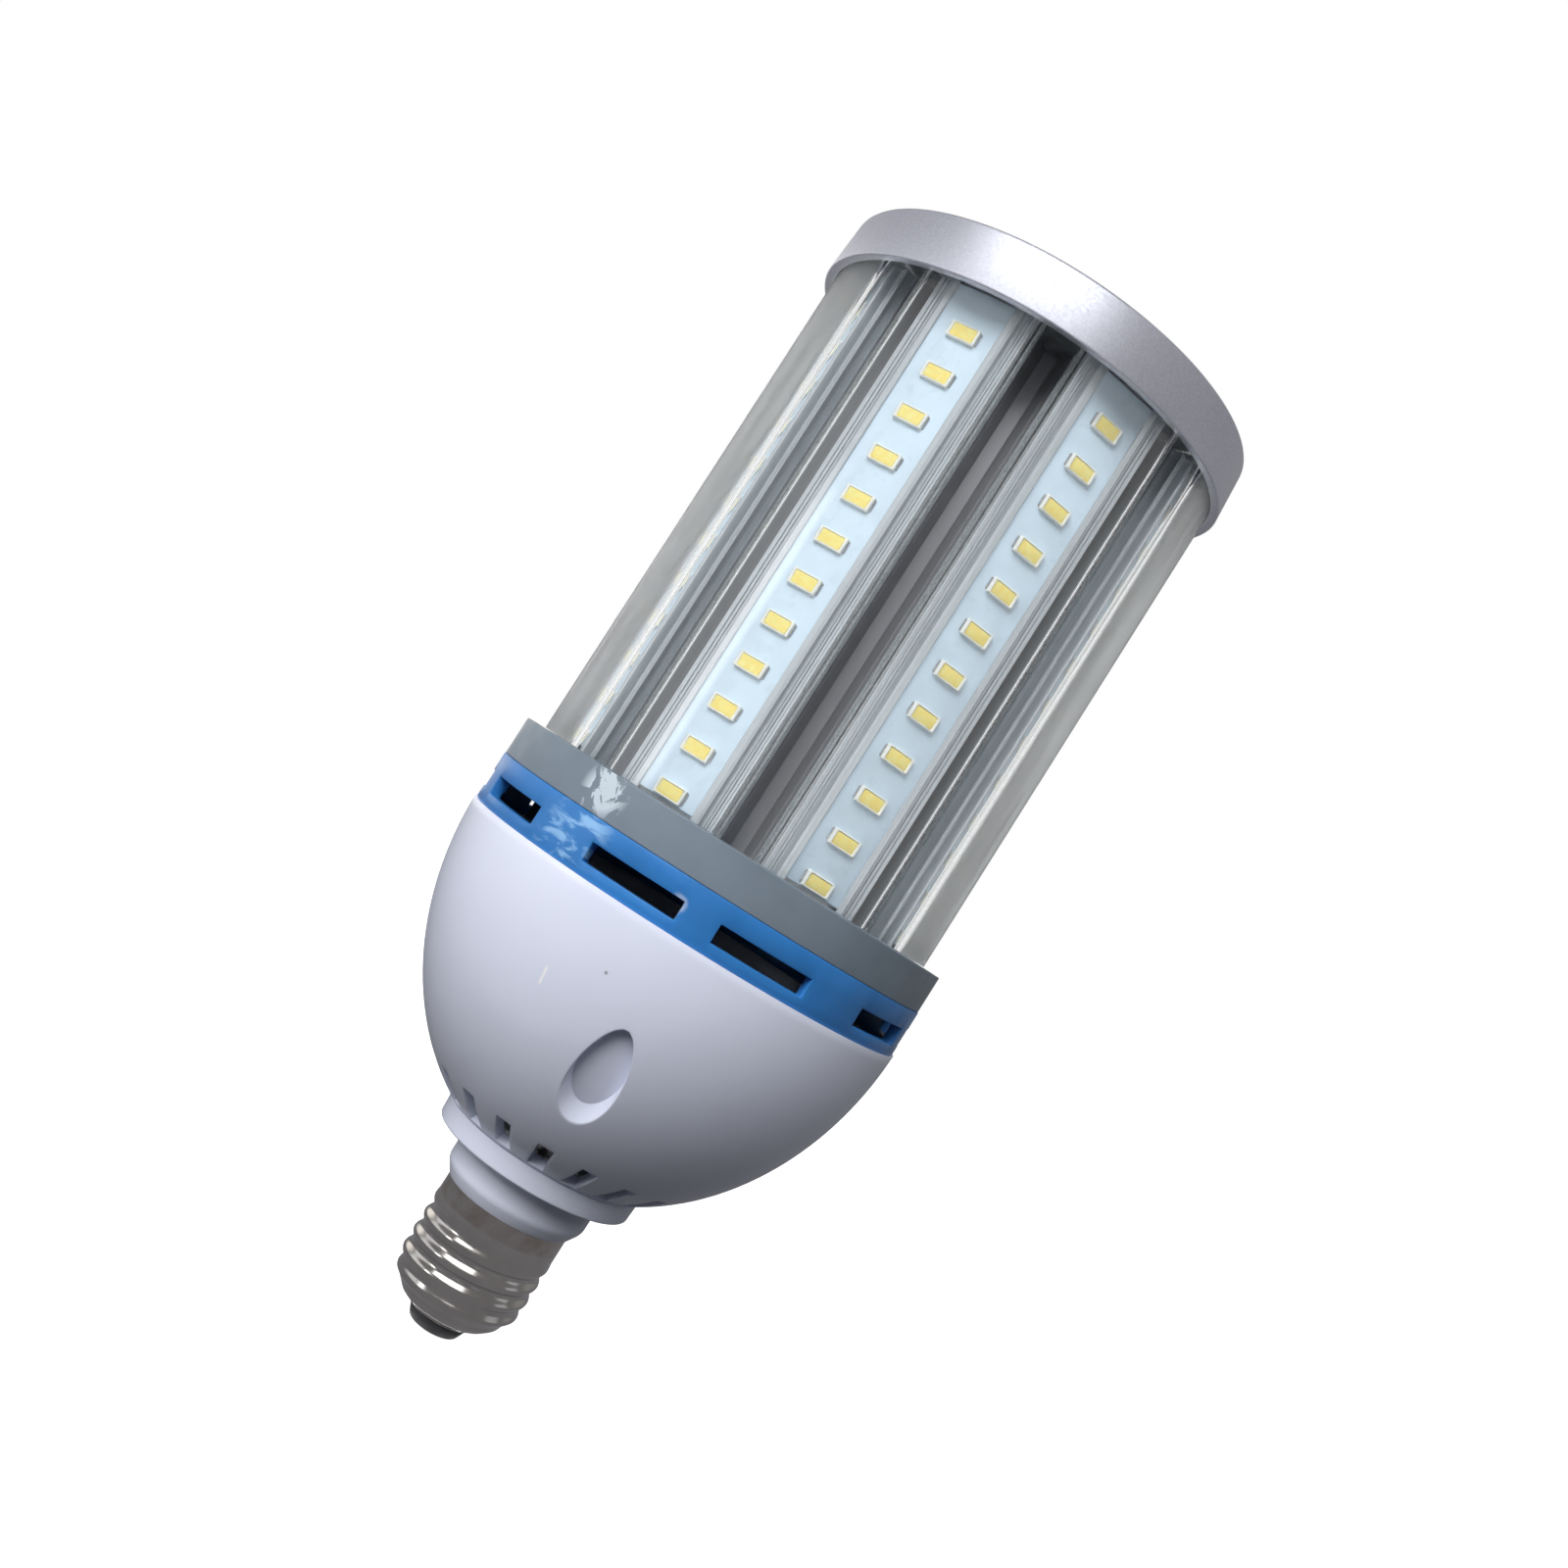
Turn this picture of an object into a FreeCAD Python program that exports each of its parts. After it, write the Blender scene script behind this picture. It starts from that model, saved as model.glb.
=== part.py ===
# Corn LED bulb with an E27 screw base, standing on its contact with the LED column upwards.
# Millimetres. +Z runs from the contact tip to the end cap, and the origin is the contact tip.
# Azimuths are degrees about +Z, counted from the front (-Y) towards +X.
import FreeCAD, Part

import math
import os
from FreeCAD import Vector

# Screw base (E27)
contact_radius = 4.85
contact_flat_radius = 2.6
contact_height = 1.2
contact_dome = 0.6
insulator_tip_radius = 5.0
insulator_neck_radius = 6.45
insulator_height = 3.4
insulator_plug_depth = 2.4
shell_top = 27.5
shell_wall = 0.5
shell_thread_radius = 13.13
shell_band_step = 0.38
shell_band_length = 4.3
shell_shoulder_step = 1.83
shell_shoulder_height = 6.9
shell_taper_top = 9.6

# Collar that joins the screw base to the bowl
collar_foot_overhang = 0.25
collar_overhang = 1.9
collar_chamfer_height = 2.6
collar_height = 8.85
collar_neck_wall = 2.55
neck_clearance = 0.1
neck_depth = 15.0
flange_lean = 0.45
flange_overhang = 0.05
flange_height = 4.25
hub_inset = 3.45
hub_height = 1.6

# Driver bowl: a quarter ellipse turned about the axis, cut off above its lowest point
bowl_overhang = 0.38
bowl_height = 50.1
bowl_cut_off = 5.9
bowl_wall = 2.2
bowl_centre_rise = 1.3
bowl_floor = 1.3
notch_count = 20
notch_width = 3.1
notch_height = 6.1
notch_margin = 0.2
notch_first_azimuth = 0.4
pocket_count = 3
pocket_radius = 4.65
pocket_inset = 7.18
pocket_first_azimuth = 1.4
pocket_ceiling_depth = 6.7
pocket_wall = 1.9
bowl_outer_span_count = 7
bowl_inner_span_count = 3
bowl_span_growth = 1.25

# Vent ring
vent_ring_overhang = 0.14
vent_ring_height = 9.65
vent_ring_wall = 2.3
vent_pair_count = 5
vent_pair_azimuth = 1.5
vent_slot_half_spacing = 15.95
vent_slot_angle = 23.3
vent_slot_height = 3.5
vent_slot_sill = 2.3

# Seat ring that carries the heat sink
seat_ring_overhang = 3.64
seat_ring_height = 7.85
seat_ring_wall = 2.3
seat_plate_thickness = 2.5
seat_hole_inset = 4.0
post_width = 6.8

# Heat sink: an eight-sided aluminium extrusion
strip_count = 8
first_strip_azimuth = -22.1
column_length = 104.7
seat_plane_radius = 36.9
sink_wall = 2.3
sink_corner_share = 0.7
board_lip_height = 1.4
board_lip_width = 0.9
toe_groove_clearance = 0.15
groove_depth = 9.4
groove_floor_half_width = 1.3
groove_lip_half_width = 3.6

# LED boards and packages
board_shoulder = 1.995
board_thickness = 1.2
board_end_gap = 0.6
board_side_gap = 0.1
led_count = 12
first_led_height = 2.35
last_led_gap = 8.63
led_width = 5.7
led_length = 3.0
led_thickness = 0.9

# Clear covers over the boards
cover_rise = 6.02
cover_wall = 1.2
cover_side_gap = 3.53
cover_corner_radius = 2.4
cover_foot_drop = 3.0
cover_toe_length = 1.5

# End cap
cap_overhang = 1.98
cap_draft = 0.7
cap_height = 10.65
cap_wall = 1.85
cap_pocket_depth = 2.1
cap_rim_width = 4.3
cap_top_thickness = 2.2

# Screws, and the rods that clamp the end cap and heat sink to the seat ring
screw_radius = 1.45
screw_clearance_radius = 1.7
screw_grip_gap = 0.05
screw_head_radius = 3.0
screw_head_height = 2.0
bowl_screw_grip = 12.0
rod_count = 4
rod_inset = 5.2

# Driver inside the bowl
driver_height = 18.0
driver_edge_gap = 0.25
driver_board_thickness = 1.6
transformer_size = (21.0, 18.0, 15.0)
bobbin_size = (15.0, 24.0, 8.0)
transformer_place = (-13.0, 3.0)
capacitor_radius = 5.0
capacitor_height = 20.0
capacitor_place = (15.0, 9.0)
choke_size = (14.0, 11.0, 12.0)
choke_place = (14.0, -7.0)
film_capacitor_size = (13.0, 6.0, 11.0)
film_capacitor_aside = 0.0
film_capacitor_inset = 10.15
rectifier_size = (9.0, 3.6, 8.5)
rectifier_place = (-15.0, -13.0)
fuse_size = (8.4, 4.4, 7.6)
fuse_aside = 2.0
fuse_inset = 9.15
lead_radius = 0.8
output_lead_offset = 4.0
output_lead_end_gap = 2.0

# Sides of the turned faces, which keep the part light, and how far a cutter runs past a face
cut_reach = 1.0
large_side_count = 72
inner_side_count = 36
small_side_count = 36
screw_side_count = 12
cover_face_step_count = 4
cover_corner_step_count = 3

# Radii of the screw base and the collar, worked out from the sizes above
shell_band_radius = shell_thread_radius - shell_band_step
shell_shoulder_radius = shell_thread_radius - shell_shoulder_step
collar_foot_radius = shell_band_radius + collar_foot_overhang
collar_radius = shell_band_radius + collar_overhang
neck_radius = shell_band_radius - shell_wall - neck_clearance
collar_bore_radius = neck_radius - collar_neck_wall

# Radii of the rings and the bowl, which follow the column, worked out from the sizes above
half_sector = math.pi / strip_count
cover_face_radius = seat_plane_radius + cover_rise
cover_foot_radius = seat_plane_radius - cover_foot_drop
groove_floor_radius = seat_plane_radius - groove_depth
side_aside = cover_side_gap + cover_wall + toe_groove_clearance
shoulder_along = (seat_plane_radius - side_aside * math.sin(half_sector)) / math.cos(half_sector)
shoulder_side = shoulder_along * math.sin(half_sector) - side_aside * math.cos(half_sector)
board_width = 2 * (shoulder_side - board_shoulder - board_lip_width - board_side_gap)
rod_circle_radius = groove_floor_radius - sink_wall - rod_inset
seat_hole_radius = rod_circle_radius - seat_hole_inset
led_pitch = (column_length - first_led_height - last_led_gap) / (led_count - 1)
cap_lip_radius = cover_face_radius + cap_overhang
cap_top_radius = cap_lip_radius - cap_draft
cap_inner_radius = cap_lip_radius - cap_rim_width
seat_ring_radius = cover_face_radius + seat_ring_overhang
vent_ring_radius = seat_ring_radius + vent_ring_overhang
bowl_radius = vent_ring_radius + bowl_overhang
pocket_circle_radius = bowl_radius - pocket_inset

# Heights of the seats between pieces, worked out from the sizes above
collar_top = shell_top + collar_height
flange_top = collar_top + flange_height
bowl_bottom = flange_top
bowl_top = bowl_bottom + bowl_height
bowl_centre = bowl_top + bowl_centre_rise
vent_ring_top = bowl_top + vent_ring_height
seat_ring_top = vent_ring_top + seat_ring_height
seat_plate_bottom = seat_ring_top - seat_plate_thickness
column_top = seat_ring_top + column_length
cap_lip = column_top - cap_pocket_depth
cap_top = cap_lip + cap_height
cap_ceiling = cap_top - cap_top_thickness
pocket_ceiling = bowl_top - pocket_ceiling_depth
driver_bottom = bowl_bottom + driver_height
driver_top = driver_bottom + driver_board_thickness
bowl_ellipse_height = bowl_height + bowl_centre_rise + bowl_cut_off
bowl_foot_share = (bowl_height + bowl_centre_rise) / bowl_ellipse_height
flange_radius = bowl_radius * math.sqrt(1 - bowl_foot_share ** 2) + flange_overhang
flange_bottom_radius = flange_radius - flange_lean
hub_radius = flange_radius - hub_inset
AXIS = Vector(0, 0, 1)


def direction(azimuth):
    """Unit vector in plan at an azimuth from the front."""
    angle = math.radians(azimuth)
    return Vector(math.sin(angle), -math.cos(angle), 0)


def ring_points(radius, height, sides):
    return [direction(360.0 * index / sides) * radius + Vector(0, 0, height) for index in range(sides)]


def turned(profile, sides):
    """Flat-sided solid of revolution from a closed list of (radius, height) corners."""
    faces = []
    for low, high in zip(profile, profile[1:] + profile[:1]):
        if low[0] == 0 and high[0] == 0:
            continue
        if low[1] == high[1] and 0 in (low[0], high[0]):
            rim = ring_points(max(low[0], high[0]), low[1], sides)
            faces.append(Part.Face(Part.makePolygon(rim + rim[:1])))
            continue
        lower, upper = ring_points(*low, sides), ring_points(*high, sides)
        for index in range(sides):
            step = (index + 1) % sides
            corners = [lower[index], lower[step], upper[step], upper[index]]
            faces.append(Part.Face(Part.makePolygon(corners + corners[:1])))
    body = Part.makeSolid(Part.makeShell(faces))
    if body.Volume < 0:
        body.reverse()
    return body.removeSplitter()


def cylinder(radius, bottom, top, place=Vector(0, 0, 0)):
    return Part.makeCylinder(radius, top - bottom, place + Vector(0, 0, bottom), AXIS)


def prism(radius, sides, bottom, top, place=Vector(0, 0, 0)):
    """Upright rod or hole with flat sides."""
    rim = [point + place for point in ring_points(radius, bottom, sides)]
    return Part.Face(Part.makePolygon(rim + rim[:1])).extrude(Vector(0, 0, top - bottom))


def spun(shape, count, first_azimuth=0.0):
    """Copies of a shape built at the front, spread evenly about the axis."""
    copies = []
    for index in range(count):
        copy = shape.copy()
        copy.rotate(Vector(0, 0, 0), AXIS, first_azimuth + 360.0 * index / count)
        copies.append(copy)
    return copies


def box_on(size, place, bottom):
    length, width, height = size
    corner = Vector(place[0] - length / 2, place[1] - width / 2, bottom)
    return Part.makeBox(length, width, height, corner)


def screw(place, seat, length, way):
    """Pan-head screw: way +1 puts the head under its seat and the shank above, -1 the reverse."""
    head_bottom = seat if way < 0 else seat - screw_head_height
    head = prism(screw_head_radius, 2 * screw_side_count, head_bottom, head_bottom + screw_head_height, place)
    shank_bottom = seat - length if way < 0 else seat
    return head.fuse(prism(screw_radius, screw_side_count, shank_bottom, shank_bottom + length, place))


def contact_button():
    return turned([
        (0, 0),
        (contact_flat_radius, 0),
        (contact_radius, contact_dome),
        (contact_radius, contact_height),
        (0, contact_height),
    ], small_side_count)


def shell_inside_corners():
    """Inner wall of the screw shell, which the insulating plug fills at the bottom."""
    bore_radius = shell_band_radius - shell_wall
    return [
        (insulator_neck_radius, insulator_height),
        (shell_shoulder_radius - shell_wall, shell_shoulder_height),
        (bore_radius, shell_taper_top),
    ]


def base_insulator():
    """Plug cast between the contact and the shell; its upper cone lines the shell's taper."""
    (low_radius, low), (high_radius, high) = shell_inside_corners()[:2]
    plug_top = insulator_height + insulator_plug_depth
    plug_radius = low_radius + (high_radius - low_radius) * (plug_top - low) / (high - low)
    return turned([
        (0, contact_height),
        (contact_radius, contact_height),
        (contact_radius, contact_dome),
        (insulator_tip_radius, contact_dome),
        (insulator_neck_radius, insulator_height),
        (plug_radius, plug_top),
        (0, plug_top),
    ], small_side_count)


def screw_shell():
    """Shell of the screw base at the radius of its thread crests, with the plain band above."""
    band_bottom = shell_top - shell_band_length
    neck, shoulder, bore = shell_inside_corners()
    taper = turned([
        neck,
        (insulator_neck_radius + shell_wall, insulator_height),
        (shell_shoulder_radius, shell_shoulder_height),
        (shell_thread_radius, shell_taper_top),
        bore,
        shoulder,
    ], small_side_count)
    body = cylinder(shell_thread_radius, shell_taper_top, band_bottom)
    body = body.fuse(cylinder(shell_band_radius, band_bottom, shell_top)).removeSplitter()
    return body.cut(prism(bore[0], small_side_count, shell_taper_top, shell_top)).fuse(taper)


def base_collar():
    return turned([
        (collar_bore_radius, shell_top - neck_depth),
        (neck_radius, shell_top - neck_depth),
        (neck_radius, shell_top),
        (collar_foot_radius, shell_top),
        (collar_radius, shell_top + collar_chamfer_height),
        (collar_radius, collar_top),
        (flange_bottom_radius, collar_top),
        (flange_radius, flange_top),
        (hub_radius, flange_top),
        (hub_radius, flange_top + hub_height),
        (collar_bore_radius, flange_top + hub_height),
    ], small_side_count)


def bowl_outline_radius(height, inset=0.0):
    """Radius of the bowl's ellipse at a height, or of the ellipse set in by a wall."""
    rise = (bowl_centre - height) / (bowl_ellipse_height - inset)
    return (bowl_radius - inset) * math.sqrt(1 - rise * rise)


def bowl_corners(spans, inset, bottom, top):
    """Corners of straight spans that follow the bowl's ellipse, the low ones shorter."""
    heights = [bottom + (top - bottom) * (index / spans) ** bowl_span_growth
               for index in range(spans + 1)]
    return [(bowl_outline_radius(height, inset), height) for height in heights]


def bowl_outside():
    """The full body under the bowl's outer surface."""
    corners = bowl_corners(bowl_outer_span_count, 0.0, bowl_bottom, bowl_top)
    return turned([(0, bowl_bottom)] + corners + [(0, bowl_top)], large_side_count)


def bowl_inside():
    corners = bowl_corners(bowl_inner_span_count, bowl_wall, bowl_bottom + bowl_wall, bowl_top)
    return turned([(0, bowl_bottom + bowl_wall)] + corners + [(0, bowl_top)], inner_side_count)


def driver_bowl():
    """Thin bowl with vent notches at its foot and screw pockets that open in its side."""
    outside = bowl_outside()
    hub_hole = prism(hub_radius + neck_clearance, small_side_count, bowl_bottom - cut_reach,
                     bowl_bottom + bowl_wall + cut_reach)
    half_boss = pocket_radius + pocket_wall
    boss = Part.makeBox(2 * half_boss, 2 * half_boss, bowl_height,
                        Vector(-half_boss, -pocket_circle_radius - half_boss, bowl_bottom))
    bosses = Part.makeCompound(spun(boss, pocket_count, pocket_first_azimuth)).common(outside)
    shell = outside.cut([bowl_inside(), hub_hole]).fuse(bosses)
    centre = direction(0) * pocket_circle_radius
    pocket = cylinder(pocket_radius, bowl_bottom - cut_reach, pocket_ceiling, centre)
    hole = prism(screw_clearance_radius, screw_side_count, pocket_ceiling - cut_reach,
                 bowl_top + cut_reach, centre)
    notch_reach = bowl_outline_radius(bowl_bottom + notch_height) + notch_margin
    notch = Part.makeBox(notch_width, notch_reach - flange_radius, notch_height - bowl_floor,
                         Vector(-notch_width / 2, -notch_reach, bowl_bottom + bowl_floor))
    cuts = spun(notch, notch_count, notch_first_azimuth)
    cuts += spun(pocket, pocket_count, pocket_first_azimuth)
    cuts += spun(hole, pocket_count, pocket_first_azimuth)
    return shell.cut(cuts)


def bowl_screws():
    place = direction(pocket_first_azimuth) * pocket_circle_radius
    length = bowl_top - pocket_ceiling + bowl_screw_grip
    return Part.makeCompound(spun(screw(place, pocket_ceiling, length, 1), pocket_count))


def vent_slot(azimuth):
    """Slot cutter: a sector of a ring that reaches through the wall."""
    bottom = bowl_top + vent_slot_sill
    top = bottom + vent_slot_height
    sector = Part.makeCylinder(vent_ring_radius + cut_reach, vent_slot_height, Vector(0, 0, bottom),
                               AXIS, vent_slot_angle)
    core = cylinder(vent_ring_radius - vent_ring_wall - cut_reach, bottom - cut_reach, top + cut_reach)
    sector = sector.cut(core)
    sector.rotate(Vector(0, 0, 0), AXIS, azimuth - 90.0 - vent_slot_angle / 2)
    return sector


def vent_ring():
    wall = prism(vent_ring_radius, large_side_count, bowl_top, vent_ring_top)
    cuts = [prism(vent_ring_radius - vent_ring_wall, inner_side_count, bowl_top - cut_reach,
                  vent_ring_top + cut_reach)]
    for pair in range(vent_pair_count):
        centre = vent_pair_azimuth + 360.0 * pair / vent_pair_count
        cuts.append(vent_slot(centre - vent_slot_half_spacing))
        cuts.append(vent_slot(centre + vent_slot_half_spacing))
    return wall.cut(cuts)


def rod_place():
    return direction(first_strip_azimuth) * rod_circle_radius


def seat_ring():
    """Ring under the heat sink, whose posts reach down to the bowl's screw bosses."""
    body = prism(seat_ring_radius, large_side_count, vent_ring_top, seat_ring_top)
    body = body.cut(prism(seat_ring_radius - seat_ring_wall, inner_side_count,
                          vent_ring_top - cut_reach, seat_plate_bottom))
    post = Part.makeBox(post_width, post_width, seat_plate_bottom - bowl_top,
                        Vector(-post_width / 2, -pocket_circle_radius - post_width / 2, bowl_top))
    centre = direction(0) * pocket_circle_radius
    screw_hole = prism(screw_radius + screw_grip_gap, screw_side_count, bowl_top - cut_reach,
                       seat_plate_bottom, centre)
    rod_hole = prism(screw_radius + screw_grip_gap, screw_side_count, seat_plate_bottom - cut_reach,
                     seat_ring_top + cut_reach, rod_place())
    hole = prism(seat_hole_radius, strip_count, seat_plate_bottom - cut_reach, seat_ring_top + cut_reach)
    hole.rotate(Vector(0, 0, 0), AXIS, 180.0 / strip_count)
    cuts = spun(screw_hole, pocket_count, pocket_first_azimuth) + spun(rod_hole, rod_count) + [hole]
    return body.fuse(spun(post, pocket_count, pocket_first_azimuth)).cut(cuts)


def sector_point(along, aside):
    """Plan point of the strip at azimuth 0, from its groove plane at +half_sector.

    along runs out from the axis in the groove plane, aside from that plane into the strip.
    """
    radius_part = along * math.cos(half_sector) + aside * math.sin(half_sector)
    side_part = along * math.sin(half_sector) - aside * math.cos(half_sector)
    return radius_part, side_part


def strip_corner(radius_part, side_part, height):
    """Model point of a strip corner, with the strip facing the front."""
    return Vector(side_part, -radius_part, height)


def sink_half_outline():
    """Outer outline of one half strip, from the middle of its seat to the groove floor."""
    seat = seat_plane_radius
    lip_inside = board_width / 2 + board_side_gap
    lip_outside = lip_inside + board_lip_width
    toe_aside = side_aside + cover_toe_length
    toe_top = cover_foot_radius + cover_wall + toe_groove_clearance
    toe_bottom = cover_foot_radius - toe_groove_clearance
    return [
        (seat, lip_inside),
        (seat + board_lip_height, lip_inside),
        (seat + board_lip_height, lip_outside),
        (seat, lip_outside),
        (seat, shoulder_side),
        sector_point(toe_top, side_aside),
        sector_point(toe_top, toe_aside),
        sector_point(toe_bottom, toe_aside),
        sector_point(toe_bottom, groove_lip_half_width),
        sector_point(groove_floor_radius, groove_floor_half_width),
    ]


def sink_inner_half_outline():
    """Inner outline of one half strip, a wall behind the outer one."""
    floor_inside = groove_floor_radius - sink_wall
    wall_aside = cover_side_gap + cover_wall + cover_toe_length + sink_wall
    back = seat_plane_radius - sink_wall
    back_along = (back - wall_aside * math.sin(half_sector)) / math.cos(half_sector)
    _, back_side = sector_point(back_along, wall_aside)
    floor_aside = groove_floor_half_width + sink_wall * sink_corner_share
    return [(back, back_side), sector_point(floor_inside, floor_aside)]


def full_outline(half_outline):
    """Closed plan outline from one half strip, mirrored and repeated round the axis."""
    whole = [(radius_part, -side_part) for radius_part, side_part in reversed(half_outline)]
    whole += half_outline
    corners = []
    for index in range(strip_count):
        azimuth = first_strip_azimuth + 360.0 * index / strip_count
        for radius_part, side_part in whole:
            corner = strip_corner(radius_part, side_part, seat_ring_top)
            turn = FreeCAD.Rotation(AXIS, azimuth)
            corners.append(turn.multVec(corner))
    return Part.makePolygon(corners + corners[:1])


def heat_sink():
    up = Vector(0, 0, column_length)
    outside = Part.Face(full_outline(sink_half_outline())).extrude(up)
    inside = Part.Face(full_outline(sink_inner_half_outline())).extrude(up)
    return outside.cut(inside)


def strip_box(width, inner_radius, outer_radius, bottom, top, azimuth):
    """Box on a strip's seat, at the strip's azimuth."""
    body = Part.makeBox(width, outer_radius - inner_radius, top - bottom,
                        Vector(-width / 2, -outer_radius, bottom))
    body.rotate(Vector(0, 0, 0), AXIS, azimuth)
    return body


def led_board(azimuth):
    bottom = seat_ring_top + board_end_gap
    top = column_top - board_end_gap
    return strip_box(board_width, seat_plane_radius, seat_plane_radius + board_thickness,
                     bottom, top, azimuth)


def led_packages(azimuth):
    board_face = seat_plane_radius + board_thickness
    packages = []
    for index in range(led_count):
        middle = seat_ring_top + first_led_height + led_pitch * index
        packages.append(strip_box(led_width, board_face, board_face + led_thickness,
                                  middle - led_length / 2, middle + led_length / 2, azimuth))
    return Part.makeCompound(packages)


def cover_skin(inset, rounding, foot_along):
    """Half outline of the cover's outer or inner skin, from the middle of its face to its foot."""
    radius = cover_face_radius - inset
    aside = cover_side_gap + inset
    centre_aside = aside + rounding
    centre_along = math.sqrt((radius - rounding) ** 2 - centre_aside ** 2)
    centre_radius, centre_side = sector_point(centre_along, centre_aside)
    face_angle = math.atan2(centre_side, centre_radius)
    points = []
    for step in range(cover_face_step_count):
        angle = face_angle * step / cover_face_step_count
        points.append((radius * math.cos(angle), radius * math.sin(angle)))
    wall_angle = half_sector + math.pi / 2
    for step in range(cover_corner_step_count + 1):
        angle = face_angle + (wall_angle - face_angle) * step / cover_corner_step_count
        points.append((centre_radius + rounding * math.cos(angle),
                       centre_side + rounding * math.sin(angle)))
    return points + [sector_point(foot_along, aside)]


def clear_cover(azimuth):
    """C-shaped clear cover whose toes hook into the heat sink's side grooves."""
    toe_aside = cover_side_gap + cover_wall + cover_toe_length
    toe_top = cover_foot_radius + cover_wall
    outer = cover_skin(0.0, cover_corner_radius, cover_foot_radius)
    inner = cover_skin(cover_wall, cover_corner_radius - cover_wall, toe_top)
    toe = [sector_point(cover_foot_radius, toe_aside), sector_point(toe_top, toe_aside)]
    half = outer + toe + inner[::-1]
    other_half = [(radius_part, -side_part) for radius_part, side_part in half[::-1]]
    corners = [strip_corner(point[0], point[1], seat_ring_top) for point in half + other_half[1:-1]]
    cover = Part.Face(Part.makePolygon(corners + corners[:1])).extrude(Vector(0, 0, column_length))
    cover.rotate(Vector(0, 0, 0), AXIS, azimuth)
    return cover


def end_cap():
    """Cap with a shallow pocket for the column's end and an eight-sided hollow above it."""
    cap_pocket_radius = cap_lip_radius - cap_wall
    body = turned([
        (cap_lip_radius, cap_lip),
        (cap_top_radius, cap_top),
        (0, cap_top),
        (0, column_top),
        (cap_pocket_radius, column_top),
        (cap_pocket_radius, cap_lip),
    ], large_side_count)
    hollow = prism(cap_inner_radius, strip_count, column_top, cap_ceiling)
    hole = prism(screw_clearance_radius, screw_side_count, cap_ceiling - cut_reach, cap_top + cut_reach,
                 rod_place())
    return body.cut([hollow] + spun(hole, rod_count))


def cap_rods():
    """Long screws from the end cap, through the open heat sink, into the seat ring."""
    rod = screw(rod_place(), cap_top, cap_top - seat_plate_bottom, -1)
    return Part.makeCompound(spun(rod, rod_count))


def driver_board_reach():
    """Radius of the driver board's corners, which rest on the bowl's narrowing wall."""
    corners = bowl_corners(bowl_inner_span_count, bowl_wall, bowl_bottom + bowl_wall, bowl_top)
    low, high = [pair for pair in zip(corners, corners[1:]) if pair[0][1] <= driver_bottom][-1]
    share = (driver_bottom - low[1]) / (high[1] - low[1])
    return low[0] + share * (high[0] - low[0]) - driver_edge_gap


def driver_board():
    """Six-sided board whose corners lie between the screw bosses."""
    reach = driver_board_reach()
    sides = 2 * pocket_count
    points = [direction(pocket_first_azimuth + 360.0 * (index + 0.5) / sides) * reach
              + Vector(0, 0, driver_bottom) for index in range(sides)]
    return Part.Face(Part.makePolygon(points + points[:1])).extrude(Vector(0, 0, driver_board_thickness))


def edge_place(aside, inset, way):
    """Place on the driver board, counted in from its front edge (way -1) or back edge (way +1)."""
    edge = driver_board_reach() * math.cos(math.pi / (2 * pocket_count))
    return aside, way * (edge - inset)


def film_capacitor():
    return box_on(film_capacitor_size, edge_place(film_capacitor_aside, film_capacitor_inset, -1),
                  driver_top)


def fuse():
    return box_on(fuse_size, edge_place(fuse_aside, fuse_inset, 1), driver_top)


def transformer():
    core = box_on(transformer_size, transformer_place, driver_top)
    rise = (transformer_size[2] - bobbin_size[2]) / 2
    winding = box_on(bobbin_size, transformer_place, driver_top + rise)
    return core.fuse(winding)


def filter_capacitor():
    return prism(capacitor_radius, 2 * screw_side_count, driver_top, driver_top + capacitor_height,
                 Vector(capacitor_place[0], capacitor_place[1], 0))


def input_lead():
    """Insulated lead from the base plug up to the driver board."""
    return prism(lead_radius, screw_side_count, insulator_height + insulator_plug_depth, driver_bottom)


def output_leads():
    """Pair of leads from the driver board up the open middle of the heat sink."""
    top = column_top - output_lead_end_gap
    return Part.makeCompound([prism(lead_radius, screw_side_count, driver_top, top,
                                    direction(azimuth) * output_lead_offset) for azimuth in (0, 180)])


def all_pieces():
    pieces = {
        "contact_button": contact_button(),
        "base_insulator": base_insulator(),
        "screw_shell": screw_shell(),
        "base_collar": base_collar(),
        "driver_bowl": driver_bowl(),
        "bowl_screws": bowl_screws(),
        "vent_ring": vent_ring(),
        "seat_ring": seat_ring(),
        "heat_sink": heat_sink(),
        "end_cap": end_cap(),
        "cap_rods": cap_rods(),
        "driver_board": driver_board(),
        "transformer": transformer(),
        "filter_capacitor": filter_capacitor(),
        "input_choke": box_on(choke_size, choke_place, driver_top),
        "film_capacitor": film_capacitor(),
        "rectifier": box_on(rectifier_size, rectifier_place, driver_top),
        "fuse": fuse(),
        "input_lead": input_lead(),
        "output_leads": output_leads(),
    }
    for index in range(strip_count):
        azimuth = first_strip_azimuth + 360.0 * index / strip_count
        pieces["led_board_%d" % (index + 1)] = led_board(azimuth)
        pieces["led_packages_%d" % (index + 1)] = led_packages(azimuth)
        pieces["clear_cover_%d" % (index + 1)] = clear_cover(azimuth)
    return pieces


os.makedirs("parts", exist_ok=True)
for name, piece in all_pieces().items():
    piece.exportStep("parts/" + name + ".step")
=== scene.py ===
"""Corn LED bulb with an E27 screw base: shapes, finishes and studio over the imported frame."""

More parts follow.
